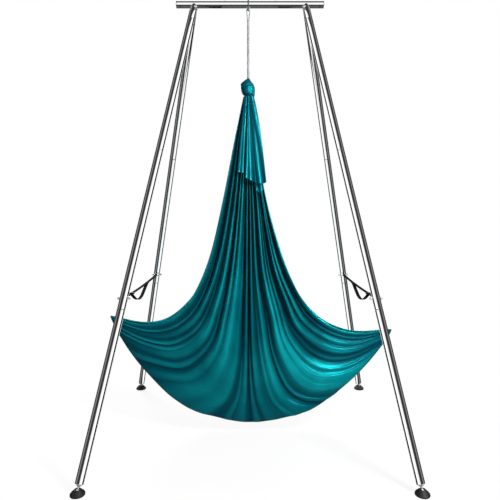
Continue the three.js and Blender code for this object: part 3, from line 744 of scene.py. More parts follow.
def thread(radius, root, pitch, low, high, steps=24):
    # one pitch of its outline, spun up the axis, then cut flat at both ends
    outline = [(root, 0), (radius, 0.42), (radius, 0.55), (root, 0.97), (root, 1)]
    turns = math.ceil((high - low) / pitch) + 2
    bm = spun([(r, low - pitch + pitch * share) for r, share in outline],
              dvec=(0, 0, pitch / steps), angle=2 * math.pi * turns, steps=steps * turns,
              use_merge=False)
    bmesh.ops.remove_doubles(bm, verts=bm.verts, dist=0.002)
    for height, way in ((low, -1), (high, 1)):
        cutOff(bm, (0, 0, height), (0, 0, way))
        rim = [edge for edge in bm.edges if edge.is_boundary
               and all(abs(vert.co.z - height) < 0.001 for vert in edge.verts)]
        bmesh.ops.holes_fill(bm, edges=rim, sides=0)
    bmesh.ops.recalc_face_normals(bm, faces=bm.faces)
    return bm


def stemParts():
    r, neck, root = foot["ballRadius"], foot["neckRadius"], foot["threadRoot"]
    low, top = foot["neckTop"], foot["stemTop"]
    ball = [(0, -r)] + arcPairs(r, -85, math.degrees(math.acos(neck / r)), 22) + [
        (neck, low - 0.8), (root, low + 0.4), (root, top - 1), (root - 1, top), (0, top)]
    screw = thread(foot["threadRadius"], root - 0.05, foot["pitch"], low + 0.5, foot["threadTop"])
    return joined([turned(ball, 48), screw])


def padSkin():
    # base, rounded rim, hollow dome, collar and the socket for the ball
    base, r, rim = -leg["ball"], foot["padRadius"], foot["padRim"]
    top, collar, cup = base + foot["padHeight"], foot["padTop"], foot["ballRadius"] + 0.3
    dome = [(r - 0.6, base + rim, 0), *((x, base + y, 0) for x, y in foot["dome"]),
            (collar + 0.6, top - 0.8, 0)]
    profile = [(0, base), (r * 0.55, base), (r * 0.57, base + 0.8), (r * 0.62, base + 0.8),
               (r * 0.64, base), *arcPairs(1.6, -90, 0, 5, (r - 1.6, base + 1.6)),
               (r, base + rim * 0.45), (r - 0.5, base + rim * 0.5), (r - 0.5, base + rim * 0.58),
               (r, base + rim * 0.63), *arcPairs(0.8, 0, 80, 4, (r - 0.8, base + rim - 0.8)),
               *((p.x, p.y) for p in smoothLine(dome, 6)),
               *arcPairs(1, 60, 90, 3, (collar - 0.6, top - 1)), (foot["padMouth"], top)]
    mouth = math.degrees(math.asin(foot["grip"] / cup))
    return turned(profile + arcPairs(cup, mouth, -90, 16)[:-1] + [(0, -cup)], 72)


def block(size, place, rounding=0.8, segments=3, shape=None):
    bm = bmesh.new()
    bmesh.ops.create_cube(bm, size=1)
    bmesh.ops.scale(bm, vec=size, verts=bm.verts)
    for vert in bm.verts if shape else ():
        shape(vert.co)
    bmesh.ops.bevel(bm, geom=bm.edges[:], offset=rounding, segments=segments, affect="EDGES",
                    profile=0.5, material=-1)
    return moved(bm, shift(*place))


def padRibs():
    # low ribs that stiffen the dome, from the rim up to the collar
    def slope(co):
        if co.x > 0:
            co.y, co.z = co.y * wide, co.z * high - dip

    wide, high, dip = foot["ribEnd"]
    x, y, z = foot["ribAt"]
    return joined([moved(block(foot["rib"], (x, y, z - leg["ball"]), 0.5, 2, slope),
                         turn(360 * (i + 0.5) / foot["ribs"], "Z")) for i in range(foot["ribs"])])


def buildFeet():
    bore, inner = foot["threadRadius"] + 0.3, leg["radius"] - leg["wall"] - 0.3
    seat, rim = foot["insertFlange"], leg["radius"]
    deep = seat + foot["insertDepth"]
    for corner, side, end in corners:
        up = legMatrix(side, end) @ shift(0, 0, -foot["axis"])
        makePiece(moved(stemParts(), up), f"levelling_stem_{corner}", f"stem_{corner}", zinc,
                  [f"foot_stem_{corner}"])
        nut = hexRing(foot["nutFlats"], foot["nutHeight"], foot["threadRadius"] - 0.4)
        makePiece(moved(nut, up @ shift(0, 0, foot["nutAt"])), f"levelling_nut_{corner}",
                  f"lock_nut_{corner}", zinc, [f"foot_lock_nut_{corner}"], 24)
        plug = turned([(bore, 0.4), (bore + 0.4, 0), (rim - 0.7, 0), (rim, 0.7), (rim, seat),
                       (inner, seat), (inner, deep), (bore, deep), (bore, 0.4)], 64)
        makePiece(moved(plug, up @ shift(0, 0, foot["insertAt"])), f"threaded_plug_{corner}",
                  "stand", zinc, [f"foot_insert_{corner}"])
        makePiece(moved(joined([padSkin(), padRibs()]), shift(*legEnds(side, end)[1])),
                  f"round_foot_{corner}", f"pad_{corner}", padRubber,
                  [f"foot_pad_{corner}"])


buildFeet()
print("feet built")

# bolts, bails and straps, in millimetres
strap = {
    "boltX": 738.1, "boltY": 497.3, "boltZ": 999.7, "boltRadius": 4, "flats": 13,
    "headHeight": 5.5, "seat": 32.1,
    "eyeRadius": 8, "eyeWidth": 5.6, "eyeAt": 28.99, "wireRadius": 3, "reach": 37, "corner": 12,
    "width": 22, "thickness": 2, "drawn": 2.8, "end": 460.3, "sag": 8, "doubled": 60,
    "lap": 12,  # from the bar to where the doubled webbing lies flat
    "bar": 3.3, "flare": 9,  # the inside of its loop, and how far out it opens
    "stitch": 3.2, "thread": 0.5, "hem": 3,
    "sewn": (34, 0.55),  # box of stitches: length, and its middle's share of the doubled part
    "sewnSpare": (16, 15), "lift": 2.55,  # the spare end's length and place, and their height
    "buckleY": -312.3, "slackSpan": 452, "slackDrop": 68,
    "slackTop": 5.2, "slackFold": 7, "slackTip": 26,
    "bow": [(0.03, 0.12), (0.1, 0.33), (0.19, 0.6), (0.33, 0.9), (0.47, 1), (0.6, 0.91),
            (0.72, 0.66), (0.85, 0.33), (0.94, 0.1)],
}
buckle = {
    "rail": (4, 26, 9), "railAt": 13.6,
    "bar": (27.2, 3.6, 2.4), "barsAt": (-11, 0, 11), "barDrop": 3.1,
    "cross": (27.2, 4, 2.6), "crossAt": (0, 10.6, 3.1),
    "tongue": (22.6, 17, 2.2), "tongueAt": (-4, 3.6), "tilt": -5,
    "rib": (18, 0.9, 0.9), "ribs": 4, "ribStart": -10.5, "ribStep": 2.4, "ribTop": 5.2,
}


def dipAt(y):
    return -strap["sag"] * (1 - (y / strap["end"]) ** 2)


def boltParts():
    r, head = strap["boltRadius"], strap["headHeight"]
    low, high = -strap["seat"] - head, strap["seat"] + head
    shank = turned([(0, low + head * 0.2), (r, low + head * 0.2), (r, high - 1), (r, high + 0.2),
                    (r - 0.9, high + 1), (0, high + 1)], 32)
    crown = moved(hexRing(strap["flats"], head, 0.6), shift(0, 0, low))
    dome = turned([(0, low - 0.2), (r * 0.9, low - 0.15), (r, low + 0.5), (0, low + 0.5)], 32)
    return joined([shank, crown, dome])


def nutParts():
    r, head, flats = strap["boltRadius"], strap["headHeight"], strap["flats"]
    collar = turned([(r, head * 0.8), (flats * 0.43, head * 0.8), (flats * 0.42, head * 0.95),
                     (r + 1, head * 1.02), (r, head * 0.94), (r, head * 0.8)], 48)
    return moved(joined([hexRing(flats, head * 0.86, r), collar]), shift(0, 0, strap["seat"]))


def bailParts():
    at, reach, bend = strap["eyeAt"], strap["reach"], strap["corner"]
    half, r, hole = strap["eyeWidth"] / 2, strap["eyeRadius"], strap["boltRadius"] + 0.3
    right = [(at, strap["eyeRadius"] / 2), *arcPairs(bend, 0, 90, 10, (at - bend, reach - bend))]
    route = right + [(-x, y) for x, y in reversed(right)]
    parts = [wire([(x, y, 0) for x, y in route], strap["wireRadius"], 16)]
    for way in (-1, 1):
        eye = turned([(hole, 0.5 - half), (hole + 0.5, -half), (r - 1.2, -half), (r, 1.2 - half),
                      (r, half - 1.2), (r - 1.2, half), (hole + 0.5, half), (hole, half - 0.5),
                      (hole, 0.5 - half)], 40)
        parts.append(moved(eye, shift(way * at, 0, 0) @ turn(90, "Y")))
    return joined(parts)


def band(path, x):
    # webbing along a (y, z) path, drawn out across
    bm = bmesh.new()
    along = bm.verts.layers.float.new("along")
    verts, width = [], strap["width"]
    for i, (y, z) in enumerate(path):
        verts.append(bm.verts.new((x - width / 2, y, z)))
        verts[-1][along] = lengthOf(path[:i + 1])
    edges = [bm.edges.new(pair) for pair in zip(verts, verts[1:])]
    for step in range(4):
        edges = extruded(bm, edges, (width / 4, 0, 0))
    mapWeave(bm, lambda vert: ((vert.co.x - x) * mm, vert[along] * mm))
    bmesh.ops.recalc_face_normals(bm, faces=bm.faces)
    return moved(bm, shift(0, 0, strap["boltZ"]))


def strapPath():
    # from under the front, round the front bar, over to the back bar and back under
    end, half, flare = strap["end"], strap["thickness"] / 2, strap["flare"]
    stitch, lap = end - strap["doubled"], end - strap["lap"]
    shares = [i / 6 for i in range(7)]
    under = [(-y, dipAt(y) - half) for y in [stitch + (lap - stitch) * s for s in shares]]
    over = [(-y, dipAt(y) + half) for y in [lap - (lap - stitch) * s for s in shares]]
    ring = [(y - end, z) for y, z in arcPairs(strap["bar"] + half, -52, -308, 20)]
    front = under + [(flare - end, -half)] + ring + [(flare - end, half)] + over
    count, reach = 40, stitch - 4
    middle = [2 * reach * i / count - reach for i in range(count + 1)]
    return front + [(y, dipAt(y)) for y in middle] + [(-y, z) for y, z in reversed(front)]


def slackPath():
    start, span, thickness = strap["buckleY"], strap["slackSpan"], strap["thickness"]
    top, end = dipAt(start) - strap["slackTop"], start + span
    tip = end + strap["slackTip"]
    under = dipAt(end) - thickness - 0.5
    bow = [(start + span * a, top - strap["slackDrop"] * b) for a, b in strap["bow"]]
    points = [(start - 9, top + 0.6), (start, top), *bow, (end, under - 1),
              (end + strap["slackFold"], under), (tip, dipAt(tip) - thickness - 0.1)]
    return [(p.x, p.y) for p in smoothLine([(y, z, 0) for y, z in points], 6)]


def stitches(places, lift, degrees):
    # short raised threads on the webbing, turned from its length
    parts, size = [], (strap["thread"] * 1.4, strap["stitch"] * 0.8, strap["thread"])
    for x, y in places:
        bm = bmesh.new()
        bmesh.ops.create_icosphere(bm, subdivisions=1, radius=0.5)
        bmesh.ops.scale(bm, vec=size, verts=bm.verts)
        parts.append(moved(bm, shift(x, y, strap["boltZ"] + dipAt(y) + lift)
                           @ turn(degrees, "Z")))
    return joined(parts)


def sewnBox(x, y, length, lift):
    # a box with its two diagonals, sewn through the doubled webbing
    half, count = strap["width"] / 2 - strap["hem"], int(length / strap["stitch"])
    slant = math.degrees(math.atan2(2 * half, length))
    shares = [2 * (i + 0.5) / count - 1 for i in range(count)]
    parts = []
    for way in (-1, 1):
        run = [(x + way * half, y + length / 2 * s) for s in shares]
        cross = [(x - way * half * s, y + length / 2 * s) for s in shares]
        short = [(x - half + 2 * half * (i + 0.5) / 5, y + way * length / 2) for i in range(5)]
        parts += [stitches(run, lift, 0), stitches(cross, lift, way * slant),
                  stitches(short, lift, 90)]
    return joined(parts)


def buckleParts():
    # a moulded ladder buckle: two rails, bars under the webbing and a ribbed tongue over it
    y, z = buckle["tongueAt"]
    tongue = moved(block(buckle["tongue"], (0, y, 0)), shift(0, 0, z) @ turn(buckle["tilt"], "X"))
    parts = [tongue, block(buckle["cross"], buckle["crossAt"], 1)]
    parts += [block(buckle["rail"], (way * buckle["railAt"], 0, 0), 1.2) for way in (-1, 1)]
    parts += [block(buckle["bar"], (0, y, -buckle["barDrop"]), 0.9) for y in buckle["barsAt"]]
    parts += [block(buckle["rib"], (0, buckle["ribStart"] + buckle["ribStep"] * i,
                                    buckle["ribTop"]), 0.3) for i in range(buckle["ribs"])]
    return joined(parts)


def buildStraps():
    for sideName, side in sides.items():
        x = side * strap["boltX"]
        for endName, end in ends.items():
            corner = f"{endName}_{sideName}"
            seat = shift(x, end * strap["boltY"], strap["boltZ"])
            # heads of the bolts to the inside
            bolt, bail = seat @ turn(side * 90, "Y"), seat @ turn(0 if end < 0 else 180, "Z")
            for bm, place, name, node, smoothUnder in (
                    (boltParts(), bolt, "cross_bolt", "strap_bolt", 24),
                    (nutParts(), bolt, "cross_bolt_nut", "strap_bolt_nut", 24),
                    (bailParts(), bail, "wire_bail", "strap_bail", 40)):
                makePiece(moved(bm, place), f"{name}_{corner}", "stand", zinc,
                          [f"{node}_{corner}"], smoothUnder)
        web = makePiece(band(strapPath(), x), f"webbing_{sideName}", "stand", webbing,
                        [f"strap_{sideName}"], 180)
        thicken(web, strap["drawn"])
        lift, at, (long, share), (short, past) = (strap[key] for key in (
            "lift", "buckleY", "sewn", "sewnSpare"))
        sewn = strap["end"] - strap["doubled"] * share
        boxes = [sewnBox(x, way * sewn, long, lift) for way in (-1, 1)]
        boxes.append(sewnBox(x, at + strap["slackSpan"] + past, short, lift / 2 + 0.1))
        makePiece(joined(boxes), f"webbing_stitches_{sideName}", "stand", stitchThread)
        slope = math.degrees(math.atan(2 * strap["sag"] * at / strap["end"] ** 2))
        place = shift(x, at, strap["boltZ"] + dipAt(at)) @ turn(slope, "X")
        makePiece(moved(buckleParts(), place), f"ladder_buckle_{sideName}", "stand",
                  bucklePlastic, [f"strap_buckle_{sideName}"], 30)
        path = slackPath()
        slack = makePiece(band(path, x), f"spare_webbing_{sideName}", "stand", webbing,
                          [f"strap_slack_{sideName}"], 180)
        thicken(slack, strap["drawn"])


buildStraps()
print("straps built")

# sling and rope, in millimetres
rope = {
    "x": -12, "radius": 9, "slingRadius": 5, "eyeRadius": 4.5, "bend": 10.2, "linkZ": 2897,
    "eyeZ": 2886.8, "eyeLength": 75, "splice": 14, "end": 2393, "cordPitch": 21, "pitch": 46,
    "strands": 3, "groove": 0.2, "step": 1.6,
    "slingGap": 0.5, "waist": 0.72,  # between sling and beam; of the rope where it leaves the eye
}


def laidTube(points, radii, pitch, closed=False, sides=24):
    # a rope laid of strands, along points spaced closely
    bm = bmesh.new()
    side, run, rings, groove = None, 0, [], rope["groove"]
    for i, point in enumerate(points):
        ahead = points[(i + 1) % len(points)] if closed or i + 1 < len(points) else point
        behind = points[i - 1] if closed or i else point
        along = (ahead - behind).normalized()
        if side is None:
            side = Vector((0, 1, 0)) if abs(along.y) < 0.5 else Vector((1, 0, 0))
        side = (side - along * side.dot(along)).normalized()
        other = along.cross(side)
        run += (point - points[i - 1]).length if i else 0
        ring = []
        for k in range(sides):
            a = 2 * math.pi * k / sides
            lobe = abs(math.cos(rope["strands"] / 2 * (a - 2 * math.pi * run / pitch)))
            ring.append(bm.verts.new(point + (side * math.cos(a) + other * math.sin(a))
                                     * radii[i] * (1 - groove + groove * lobe ** 0.8)))
        rings.append(ring)
    return skinned(bm, rings, closed)


def spaced(points, gap, closed=False):
    # the same line with its points a gap apart
    points = [Vector(p) for p in points]
    if closed:
        points.append(points[0])
    total = sum((b - a).length for a, b in zip(points, points[1:]))
    count = max(round(total / gap), 2)
    out, walked, i = [], 0, 0
    for k in range(count + (0 if closed else 1)):
        target = total * k / count
        while i < len(points) - 2 and walked + (points[i + 1] - points[i]).length < target:
            walked += (points[i + 1] - points[i]).length
            i += 1
        step = (points[i + 1] - points[i]).length
        out.append(points[i].lerp(points[i + 1], min((target - walked) / step, 1)))
    return out


def slingRoute():
    # in the plane across the beam: over it, and drawn in below to the link
    seat, bend = beam["radius"] + rope["slingGap"] + rope["slingRadius"], rope["bend"]
    lean = math.degrees(math.asin((seat - bend) / (beam["height"] - rope["linkZ"])))
    over = arcPairs(seat, -lean, 180 + lean, 60, (0, beam["height"]))
    under = arcPairs(bend, 180 + lean, 360 - lean, 24, (0, rope["linkZ"]))
    return [(rope["x"], y, z) for y, z in over + under]


def eyeRoute():
    bend, shut = rope["bend"], rope["radius"] - rope["eyeRadius"]
    arc = [(rope["x"] + y, 0, z) for y, z in arcPairs(bend, 0, 180, 24, (0, rope["eyeZ"]))]
    legs = [(bend + (shut - bend) * easeBetween(0, 1, share), rope["eyeZ"]
             - rope["eyeLength"] * share) for share in [i / 20 for i in range(1, 21)]]
    legs.append((shut, rope["eyeZ"] - rope["eyeLength"] - rope["splice"]))
    right = [(rope["x"] + x, 0, z) for x, z in reversed(legs)]
    return right + arc + [(rope["x"] - x, 0, z) for x, z in legs]


def easeBetween(low, high, value):
    t = min(max((value - low) / (high - low), 0), 1)
    return t * t * (3 - 2 * t)


def buildRope():
    for route, radius, closed, name, body, material, nodes in (
            (slingRoute(), rope["slingRadius"], True, "beam_sling_cord", "sling", slingGrey,
             ["beam_sling"]),
            (eyeRoute(), rope["eyeRadius"], False, "rope_eye", "rope", ropeWhite, [])):
        line = spaced(route, rope["step"], closed)
        cord = laidTube(line, [radius] * len(line), rope["cordPitch"], closed)
        makePiece(cord, name, body, material, nodes)
    top, waist = rope["eyeZ"] - rope["eyeLength"] + 2, rope["waist"]
    line = spaced([(rope["x"], 0, top), (rope["x"], 0, rope["end"])], 3)
    # the strands spread where the splice begins
    radii = [rope["radius"] * (waist + (1 - waist) * min((top - p.z) / rope["splice"], 1))
             for p in line]
    obj = makePiece(laidTube(line, radii, rope["pitch"]), "hammock_rope", "rope", ropeWhite,
                    ["hanging_rope"])
    route = [p * mm for p in line]


buildRope()
print("rope hung")

# the hammock's cloth, in millimetres, the flat size in metres
cloth = {
    "x": -12, "top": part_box("hammock_cloth")[1][2] / mm + 2.5, "drop": 2234, "reach": 970,
    "foldDepth": 66, "pocketDepth": 76, "least": 3, "thickness": 1.2, "columns": 320, "rows": 150,
    "turnShare": 0.07,  # half the share of the length that lies round the bottom fold
    "closing": 0.8,  # level at which the fold begins
    "wingThinning": 0.72, "thinFrom": (0.4, 0.9), "flat": (1.7, 4.4),
    "drift": (0.25, 0.55),  # levels between which ridges move to their lower places
    "inward": (1.2, -0.4), "outward": (1.2, 0.5),  # their widths, and what a level adds
    "sharp": 2.4, "ridgeShare": 0.85,
    # shares of those depths at the levels, from the knot down
    "folds": [0.18, 0.6, 0.92, 1, 1, 0.9, 0.78, 0.62, 0.5],
    "pocket": [0.07, 0.1, 0.2, 0.42, 0.62, 0.8, 0.92, 1, 1],
}
# across and down the cloth at nine levels from the knot to the bottom fold, as shares of its
# reach and drop
levels = [[Vector(place) for place in level] for level in [
    [(-0.034, 0.001), (0.037, 0.001)],
    [(-0.098, 0.136), (0, 0.145), (0.06, 0.136)],
    [(-0.178, 0.319), (-0.089, 0.336), (-0.003, 0.34), (0.079, 0.336), (0.128, 0.319)],
    [(-0.266, 0.486), (-0.142, 0.52), (-0.003, 0.538), (0.124, 0.52), (0.236, 0.486)],
    [(-0.366, 0.593), (-0.257, 0.628), (-0.135, 0.662), (-0.003, 0.681), (0.138, 0.666),
     (0.247, 0.629), (0.341, 0.593)],
    [(-0.471, 0.652), (-0.401, 0.684), (-0.324, 0.726), (-0.236, 0.775), (-0.124, 0.805),
     (-0.002, 0.811), (0.128, 0.808), (0.229, 0.781), (0.303, 0.732), (0.376, 0.69),
     (0.45, 0.66)],
    [(-0.598, 0.689), (-0.556, 0.724), (-0.5, 0.776), (-0.408, 0.849), (-0.219, 0.9),
     (0.002, 0.91), (0.216, 0.913), (0.384, 0.876), (0.475, 0.806), (0.538, 0.744),
     (0.587, 0.704)],
    [(-0.763, 0.697), (-0.741, 0.723), (-0.713, 0.762), (-0.657, 0.839), (-0.396, 0.943),
     (0.009, 0.97), (0.379, 0.954), (0.632, 0.879), (0.696, 0.811), (0.731, 0.762),
     (0.773, 0.725)],
    [(-0.979, 0.675), (-0.975, 0.682), (-0.964, 0.693), (-0.918, 0.732), (-0.79, 0.812),
     (-0.612, 0.888), (-0.321, 0.967), (0.019, 1), (0.374, 0.966), (0.673, 0.882),
     (0.843, 0.819), (0.957, 0.761), (0.999, 0.735), (1.013, 0.724), (1.017, 0.717)],
]]
# ridges of the front panel: place across high up and low down, half width, then the height at
# the knot, at three levels between, and at the bottom
ridges = [
    (0.02, 0, 0.05, 0.2, 0.35, 0.7, 0.8, 0.7), (0.07, 0.072, 0.017, 0, 0, 0.35, 0.6, 0.6),
    (0.14, 0.115, 0.036, 0.5, 0.8, 0.9, 0.3, 0.15), (0.16, 0.157, 0.017, 0, 0, 0.25, 0.55, 0.5),
    (0.19, 0.188, 0.015, 0, 0, 0.1, 0.5, 0.5), (0.235, 0.215, 0.04, 1, 1, 1, 0.35, 0.15),
    (0.26, 0.258, 0.018, 0, 0, 0.2, 0.5, 0.5), (0.32, 0.305, 0.03, 0.8, 0.9, 0.9, 0.5, 0.2),
    (0.38, 0.36, 0.036, 1, 1, 0.9, 0.4, 0.15), (0.435, 0.425, 0.03, 0.4, 0.3, 0.4, 0.4, 0.3),
    (0.465, 0.467, 0.011, 0, 0, 0.1, 0.4, 0.4), (0.488, 0.487, 0.022, 1, 1, 0.9, 0.5, 0.4),
    (0.508, 0.51, 0.012, 0, 0, 0.2, 0.5, 0.4), (0.55, 0.53, 0.022, 1, 0.95, 0.7, 0.45, 0.3),
    (0.575, 0.573, 0.012, 0, 0, 0.2, 0.4, 0.3), (0.61, 0.605, 0.028, 0.7, 0.9, 0.8, 0.5, 0.2),
    (0.65, 0.65, 0.013, 0, 0, 0.25, 0.5, 0.3), (0.705, 0.705, 0.036, 1, 1, 0.9, 0.7, 0.3),
    (0.75, 0.745, 0.026, 0.3, 0.4, 0.7, 0.6, 0.3), (0.785, 0.785, 0.022, 0.3, 0.4, 0.6, 0.6, 0.2),
    (0.82, 0.825, 0.015, 0, 0, 0.1, 0.3, 0.2), (0.86, 0.865, 0.03, 1, 1, 0.9, 0.6, 0.3),
    (0.895, 0.915, 0.03, 0.8, 0.9, 0.9, 0.5, 0.25), (0.955, 0.955, 0.016, 0, 0, 0.3, 0.4, 0.3),
    (0.985, 1, 0.045, 0.6, 0.9, 1, 0.9, 0.7),
]
# broad swells under them: place across, half width and the same five heights
swells = [
    (0.02, 0.08, 0.2, 0.2, 0.2, 0.25, 0.15), (0.2, 0.13, 0.2, 0.2, 0.2, 0.14, 0.05),
    (0.375, 0.13, 0.2, 0.3, 0.55, 0.42, 0.1), (0.59, 0.08, 0.1, 0.2, 0.35, 0.5, 0.3),
    (0.735, 0.11, 0.1, 0.2, 0.4, 0.85, 0.5), (0.89, 0.07, 0.2, 0.2, 0.2, 0.22, 0.15),
]


def shareAt(shares, t):
    return alongPoints([Vector((share, 0)) for share in shares], t)[0]


def hump(distance, half):
    # a rounded ridge: one on its line, nothing past its half width
    return 0.5 + 0.5 * math.cos(math.pi * min(abs(distance) / half, 1))


def ridgeHeight(across, level, front):
    # the back panel is the front one mirrored
    total, broad = 0, 0
    for upper, lower, half, *heights in ridges:
        if not front:
            upper, lower = 1 - upper, 1 - lower
        at = upper + (lower - upper) * easeBetween(*cloth["drift"], level)
        # steep towards the middle, easy towards the edge
        inward = (across - at) * (1 if at < 0.5 else -1) > 0
        width, grown = cloth["inward" if inward else "outward"]
        shape = hump(across - at, half * (width + grown * level)) ** (cloth["sharp"] - level)
        total = max(total, shareAt(heights, level) * shape)
    for at, half, *heights in swells:
        gap = across - (at if front else 1 - at)
        broad = max(broad, shareAt(heights, level) * hump(gap, half))
    return broad + (1 - broad) * total * cloth["ridgeShare"]


def clothPlaces(columns, rows):
    # by column and row: down the front, round the bottom fold and up the back
    half, closing = cloth["turnShare"], cloth["closing"]
    places = {}
    for i in range(columns + 1):
        across = i / columns
        line = [alongPoints(level, across) for level in levels]
        wing = abs(2 * across - 1)
        for j in range(rows + 1):
            share = j / rows
            if abs(share - 0.5) > half:
                front = share < 0.5
                level = (share if front else 1 - share) / (0.5 - half) * closing
                bend = 0 if front else math.pi
            else:
                bend = (share - 0.5 + half) / (2 * half) * math.pi
                front = bend < math.pi / 2
                level = closing + (1 - closing) * math.sin(bend)
            level = min(max(level, 0), 1)
            x, down = alongPoints(line, level)
            thin = 1 - cloth["wingThinning"] * wing ** 2 * easeBetween(*cloth["thinFrom"], level)
            ridge = ridgeHeight(across, level, front)
            depth = (cloth["pocketDepth"] * shareAt(cloth["pocket"], level)
                     + cloth["foldDepth"] * shareAt(cloth["folds"], level) * ridge) * thin
            # the ridge's height also goes along as the rise, for the painted shade
            places[i, j] = (cloth["x"] + x * cloth["reach"],
                            -math.cos(bend) * (cloth["least"] + depth),
                            cloth["top"] - down * cloth["drop"]), ridge
    return places


def hangSheet(name, places, columns, rows, flat, thickness, nodes):
    # a grid laid on the places, with each fold's rise, from which the material paints shade into
    # the hollows
    bm = bmesh.new()
    rise = bm.verts.layers.float.new("rise")
    bmesh.ops.create_grid(bm, x_segments=columns, y_segments=rows, size=0.5, calc_uvs=False)
    spot = {vert: (round((vert.co.x + 0.5) * columns), round((0.5 - vert.co.y) * rows))
            for vert in bm.verts}
    mapWeave(bm, lambda vert: (spot[vert][0] / columns * flat[0], spot[vert][1] / rows * flat[1]))
    for vert, key in spot.items():
        vert.co, vert[rise] = places[key]
    obj = makePiece(bm, name, "hammock", tealSilk, nodes, 180)
    thicken(obj, thickness)


hangSheet("hammock_panel", clothPlaces(cloth["columns"], cloth["rows"]), cloth["columns"],
          cloth["rows"], cloth["flat"], cloth["thickness"], ["hammock_cloth"])
print("cloth hung")

# the knot, in millimetres
knot = {
    "x": -12, "top": 2417, "height": 123, "width": 98, "depth": 84, "columns": 128, "rows": 90,
    "wrap": 4.5, "edge": 0.035, "fade": 0.3, "shadow": 0.04,  # a wrap's height, and its shape
    "pleat": 0.8, "pleats": 70, "slant": 0.16, "cut": (0.28, 0.13),
    "taper": (5, 9, 0.3),  # how fast the wraps' height comes at the top and goes at the foot
    "bright": (0.22, 0.68),  # where the painted highlight lies on the front facet
    # rise for the material, which paints the light and shade: plain, lighter to the right, with a
    # wrap's height, and a painted highlight on that facet
    "shade": (0.24, 0.12, 0.08, 0.5),
    # down, half width, half depth and shift, as shares
    "shape": [(0, 0.2, 0.26, 0), (0.13, 0.45, 0.5, -0.12), (0.2, 0.63, 0.62, -0.17),
              (0.3, 0.86, 0.8, -0.2), (0.41, 0.97, 0.9, -0.13), (0.52, 0.98, 0.95, -0.065),
              (0.63, 0.94, 0.96, -0.005), (0.74, 0.93, 0.96, -0.01), (0.855, 0.84, 0.92, 0.05),
              (0.91, 0.78, 0.86, 0.11), (1, 0.68, 0.68, 0.2)],
    # edges of the wraps: down at the left, at the front, at the right and at the back, height
    "wraps": [(0.3, 0.22, 0.16, 0.3, 0.35), (0.7, 0.47, 0.36, 0.55, 0.95),
              (0.93, 0.9, 1, 0.8, 0.7)],
}


def knotShape(down):
    # half width, half depth and shift, by straight steps eased between the rows
    for (a, *upper), (b, *lower) in zip(knot["shape"], knot["shape"][1:]):
        if down <= b:
            t = (down - a) / (b - a)
            t = 0.5 * t + 0.5 * t * t * (3 - 2 * t)
            return [u + (v - u) * t for u, v in zip(upper, lower)]


def knotRise(side, front, down):
    # wraps lie over each other: each ends in a rounded edge with a shadow gap below
    rise = 0
    for left, ahead, right, behind, height in knot["wraps"]:
        gap = ((ahead if front > 0 else behind) * front * front
               + (right if side > 0 else left) * side * side) - down
        if gap > 0:
            rise += height * (1 - math.exp(-gap / knot["edge"])) * math.exp(-gap / knot["fade"])
        else:
            rise -= height * 0.5 * math.exp(gap / knot["shadow"])
    return rise


def buildKnot():
    bm = bmesh.new()
    rise = bm.verts.layers.float.new("rise")
    rings, spot, columns = [], {}, knot["columns"]
    (comes, goes, least), (x, y) = knot["taper"], knot["bright"]
    plain, aside, raised, lit = knot["shade"]
    for j in range(knot["rows"] + 1):
        down = j / knot["rows"]
        wide, deep, shifted = knotShape(down)
        ring = []
        for i in range(columns):
            a = 2 * math.pi * i / columns
            side, front = math.cos(a), -math.sin(a)
            wave = knot["pleats"] * (down + knot["slant"] * side) + 2 * math.sin(3 * a)
            pleats = math.sin(wave) * (0.5 + 0.5 * front)
            grown = (knot["wrap"] * knotRise(side, front, down) + knot["pleat"] * pleats) * min(
                down * comes, 1) * min((1 - down) * goes + least, 1)
            vert = bm.verts.new((knot["x"] + shifted * knot["width"] / 2
                                 + side * (wide * knot["width"] / 2 + grown),
                                 -front * (deep * knot["depth"] / 2 + grown),
                                 knot["top"] - down * knot["height"]))
            # painted shade on the left side and painted light to the right, darker in the wraps'
            # gaps, and a painted highlight on the front facet
            litFacet = math.exp(-((side - x) / 0.4) ** 2 - ((down - y) / 0.2) ** 2)
            vert[rise] = min(max(plain + aside * side + grown / knot["wrap"] * raised
                                 + (lit * litFacet if front > 0 else 0), 0), 1)
            spot[vert] = (i / columns * knot["cut"][0], down * knot["cut"][1])
            ring.append(vert)
        rings.append(ring)
    skinned(bm, rings)
    mapWeave(bm, spot.get)
    makePiece(bm, "wound_knot", "hammock", tealSilk, ["hammock_knot"], 180)


# the loose ends of the cloth, in millimetres
tails = {
    "columns": 90, "rows": 160, "thickness": 1.1, "gap": 1.5, "layer": 3, "fold": 14,
    "least": 4,  # from the hanging line to the panel's hollows
    "hemRoll": 1.1, "hemAt": (0.984, 0.988), "spread": 1.25, "power": 1.1,
    "deepen": (0.3, 0.35),  # shares at the top of the depths that the hem has
    "rise": (0.08, 0.52),  # rise for the painted shade: of the hollows, and what the ridges add
}
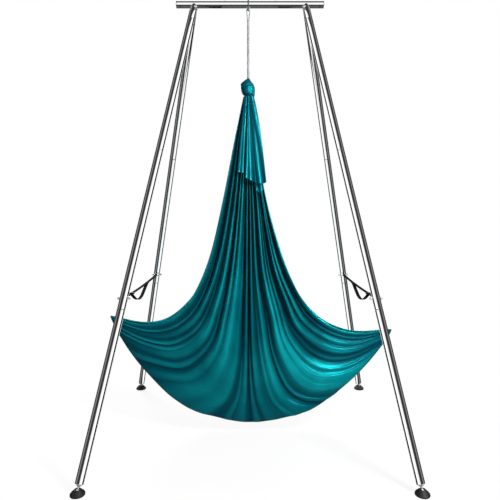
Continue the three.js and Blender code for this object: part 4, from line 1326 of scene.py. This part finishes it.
# edges at the top, hem, which layer, depth of the folds, bow of the right edge, folds (place
# across at the top and at the hem, half width, height at the top and at the hem), nodes, size
tailEnds = {
    "short": ((-0.29, -0.05), [(-0.76, 0.235), (-0.14, 0.24)], 0, 15, 0,
              [(0.18, 0.2, 0.24, 0.1, 0.75), (0.62, 0.58, 0.26, 0.9, 1)],
              ["hammock_tail_short"], (0.06, 0.55)),
    "long": ((-0.03, 0.36), [(-0.19, 0.253), (0.43, 0.266), (0.95, 0.271), (1.24, 0.266)],
             1, 19, 12,
             [(0.08, 0.04, 0.09, 0.5, 1), (0.15, 0.19, 0.09, 0.7, 1), (0.2, 0.36, 0.07, 0, 0.2),
              (0.4, 0.59, 0.16, -0.3, 1.2), (0.66, 1.1, 0.28, 0.9, 0.5)],
             ["hammock_tail_long"], (0.135, 0.62)),
    "under": ((0.02, 0.3), [(0.42, 0.272), (0.62, 0.292), (0.86, 0.297), (1.02, 0.283)],
              0, 12, 0, [(0.3, 0.3, 0.22, 0.5, 1.1), (0.8, 0.75, 0.22, 0.6, 1.1)],
              [], (0.06, 0.66)),
}


def lineShare(shares, t):
    at = t * (len(shares) - 1)
    low = min(int(at), len(shares) - 2)
    return shares[low] + (shares[low + 1] - shares[low]) * (at - low)


def clothFront(down):
    # how far the panel's ridges stand in front of the hanging line
    heights = [alongPoints(level, 0.5)[1] for level in levels]
    k = next(k for k, height in enumerate(heights[1:]) if down <= height)
    share = (down - heights[k]) / (heights[k + 1] - heights[k])
    level = (k + max(share, 0)) / (len(levels) - 1)
    return (tails["least"] + cloth["foldDepth"] * lineShare(cloth["folds"], level)
            + cloth["pocketDepth"] * lineShare(cloth["pocket"], level))


def buildTails():
    columns, rows, gap = tails["columns"], tails["rows"], tails["gap"]
    (layerTop, foldTop), (shadedHollow, ridge) = tails["deepen"], tails["rise"]
    for name, (edges, hem, layer, deep, bow, folds, nodes, flat) in tailEnds.items():
        hem = [Vector((x * knot["width"], down * cloth["drop"])) for x, down in hem]
        places = {}
        for i in range(columns + 1):
            across = i / columns
            start = Vector((edges[0] + (edges[1] - edges[0]) * across, 0)) * knot["width"]
            end = alongPoints(hem, across)
            for j in range(rows + 1):
                share = j / rows
                x, down = start.lerp(end, share)
                x += bow * across ** 2 * math.sin(math.pi * share ** 0.7)
                under = layer * (tails["layer"] + gap
                                 + tails["fold"] * (layerTop + (1 - layerTop) * share))
                height = max([0] + [
                    (high + (low - high) * share)
                    * hump(across - (atTop + (atHem - atTop) * share),
                           half * tails["spread"]) ** tails["power"]
                    for atTop, atHem, half, high, low in folds])
                front = (clothFront(down / cloth["drop"]) + 2 * gap + under
                         + deep * (foldTop + (1 - foldTop) * share) * height
                         + tails["hemRoll"] * easeBetween(*tails["hemAt"], share))
                places[i, j] = ((cloth["x"] + x, -front, cloth["top"] - down),
                                shadedHollow + ridge * min(height, 1))
        hangSheet(f"silk_tail_{name}", places, columns, rows, flat, tails["thickness"], nodes)


buildKnot()
buildTails()
print("knot and tails made")
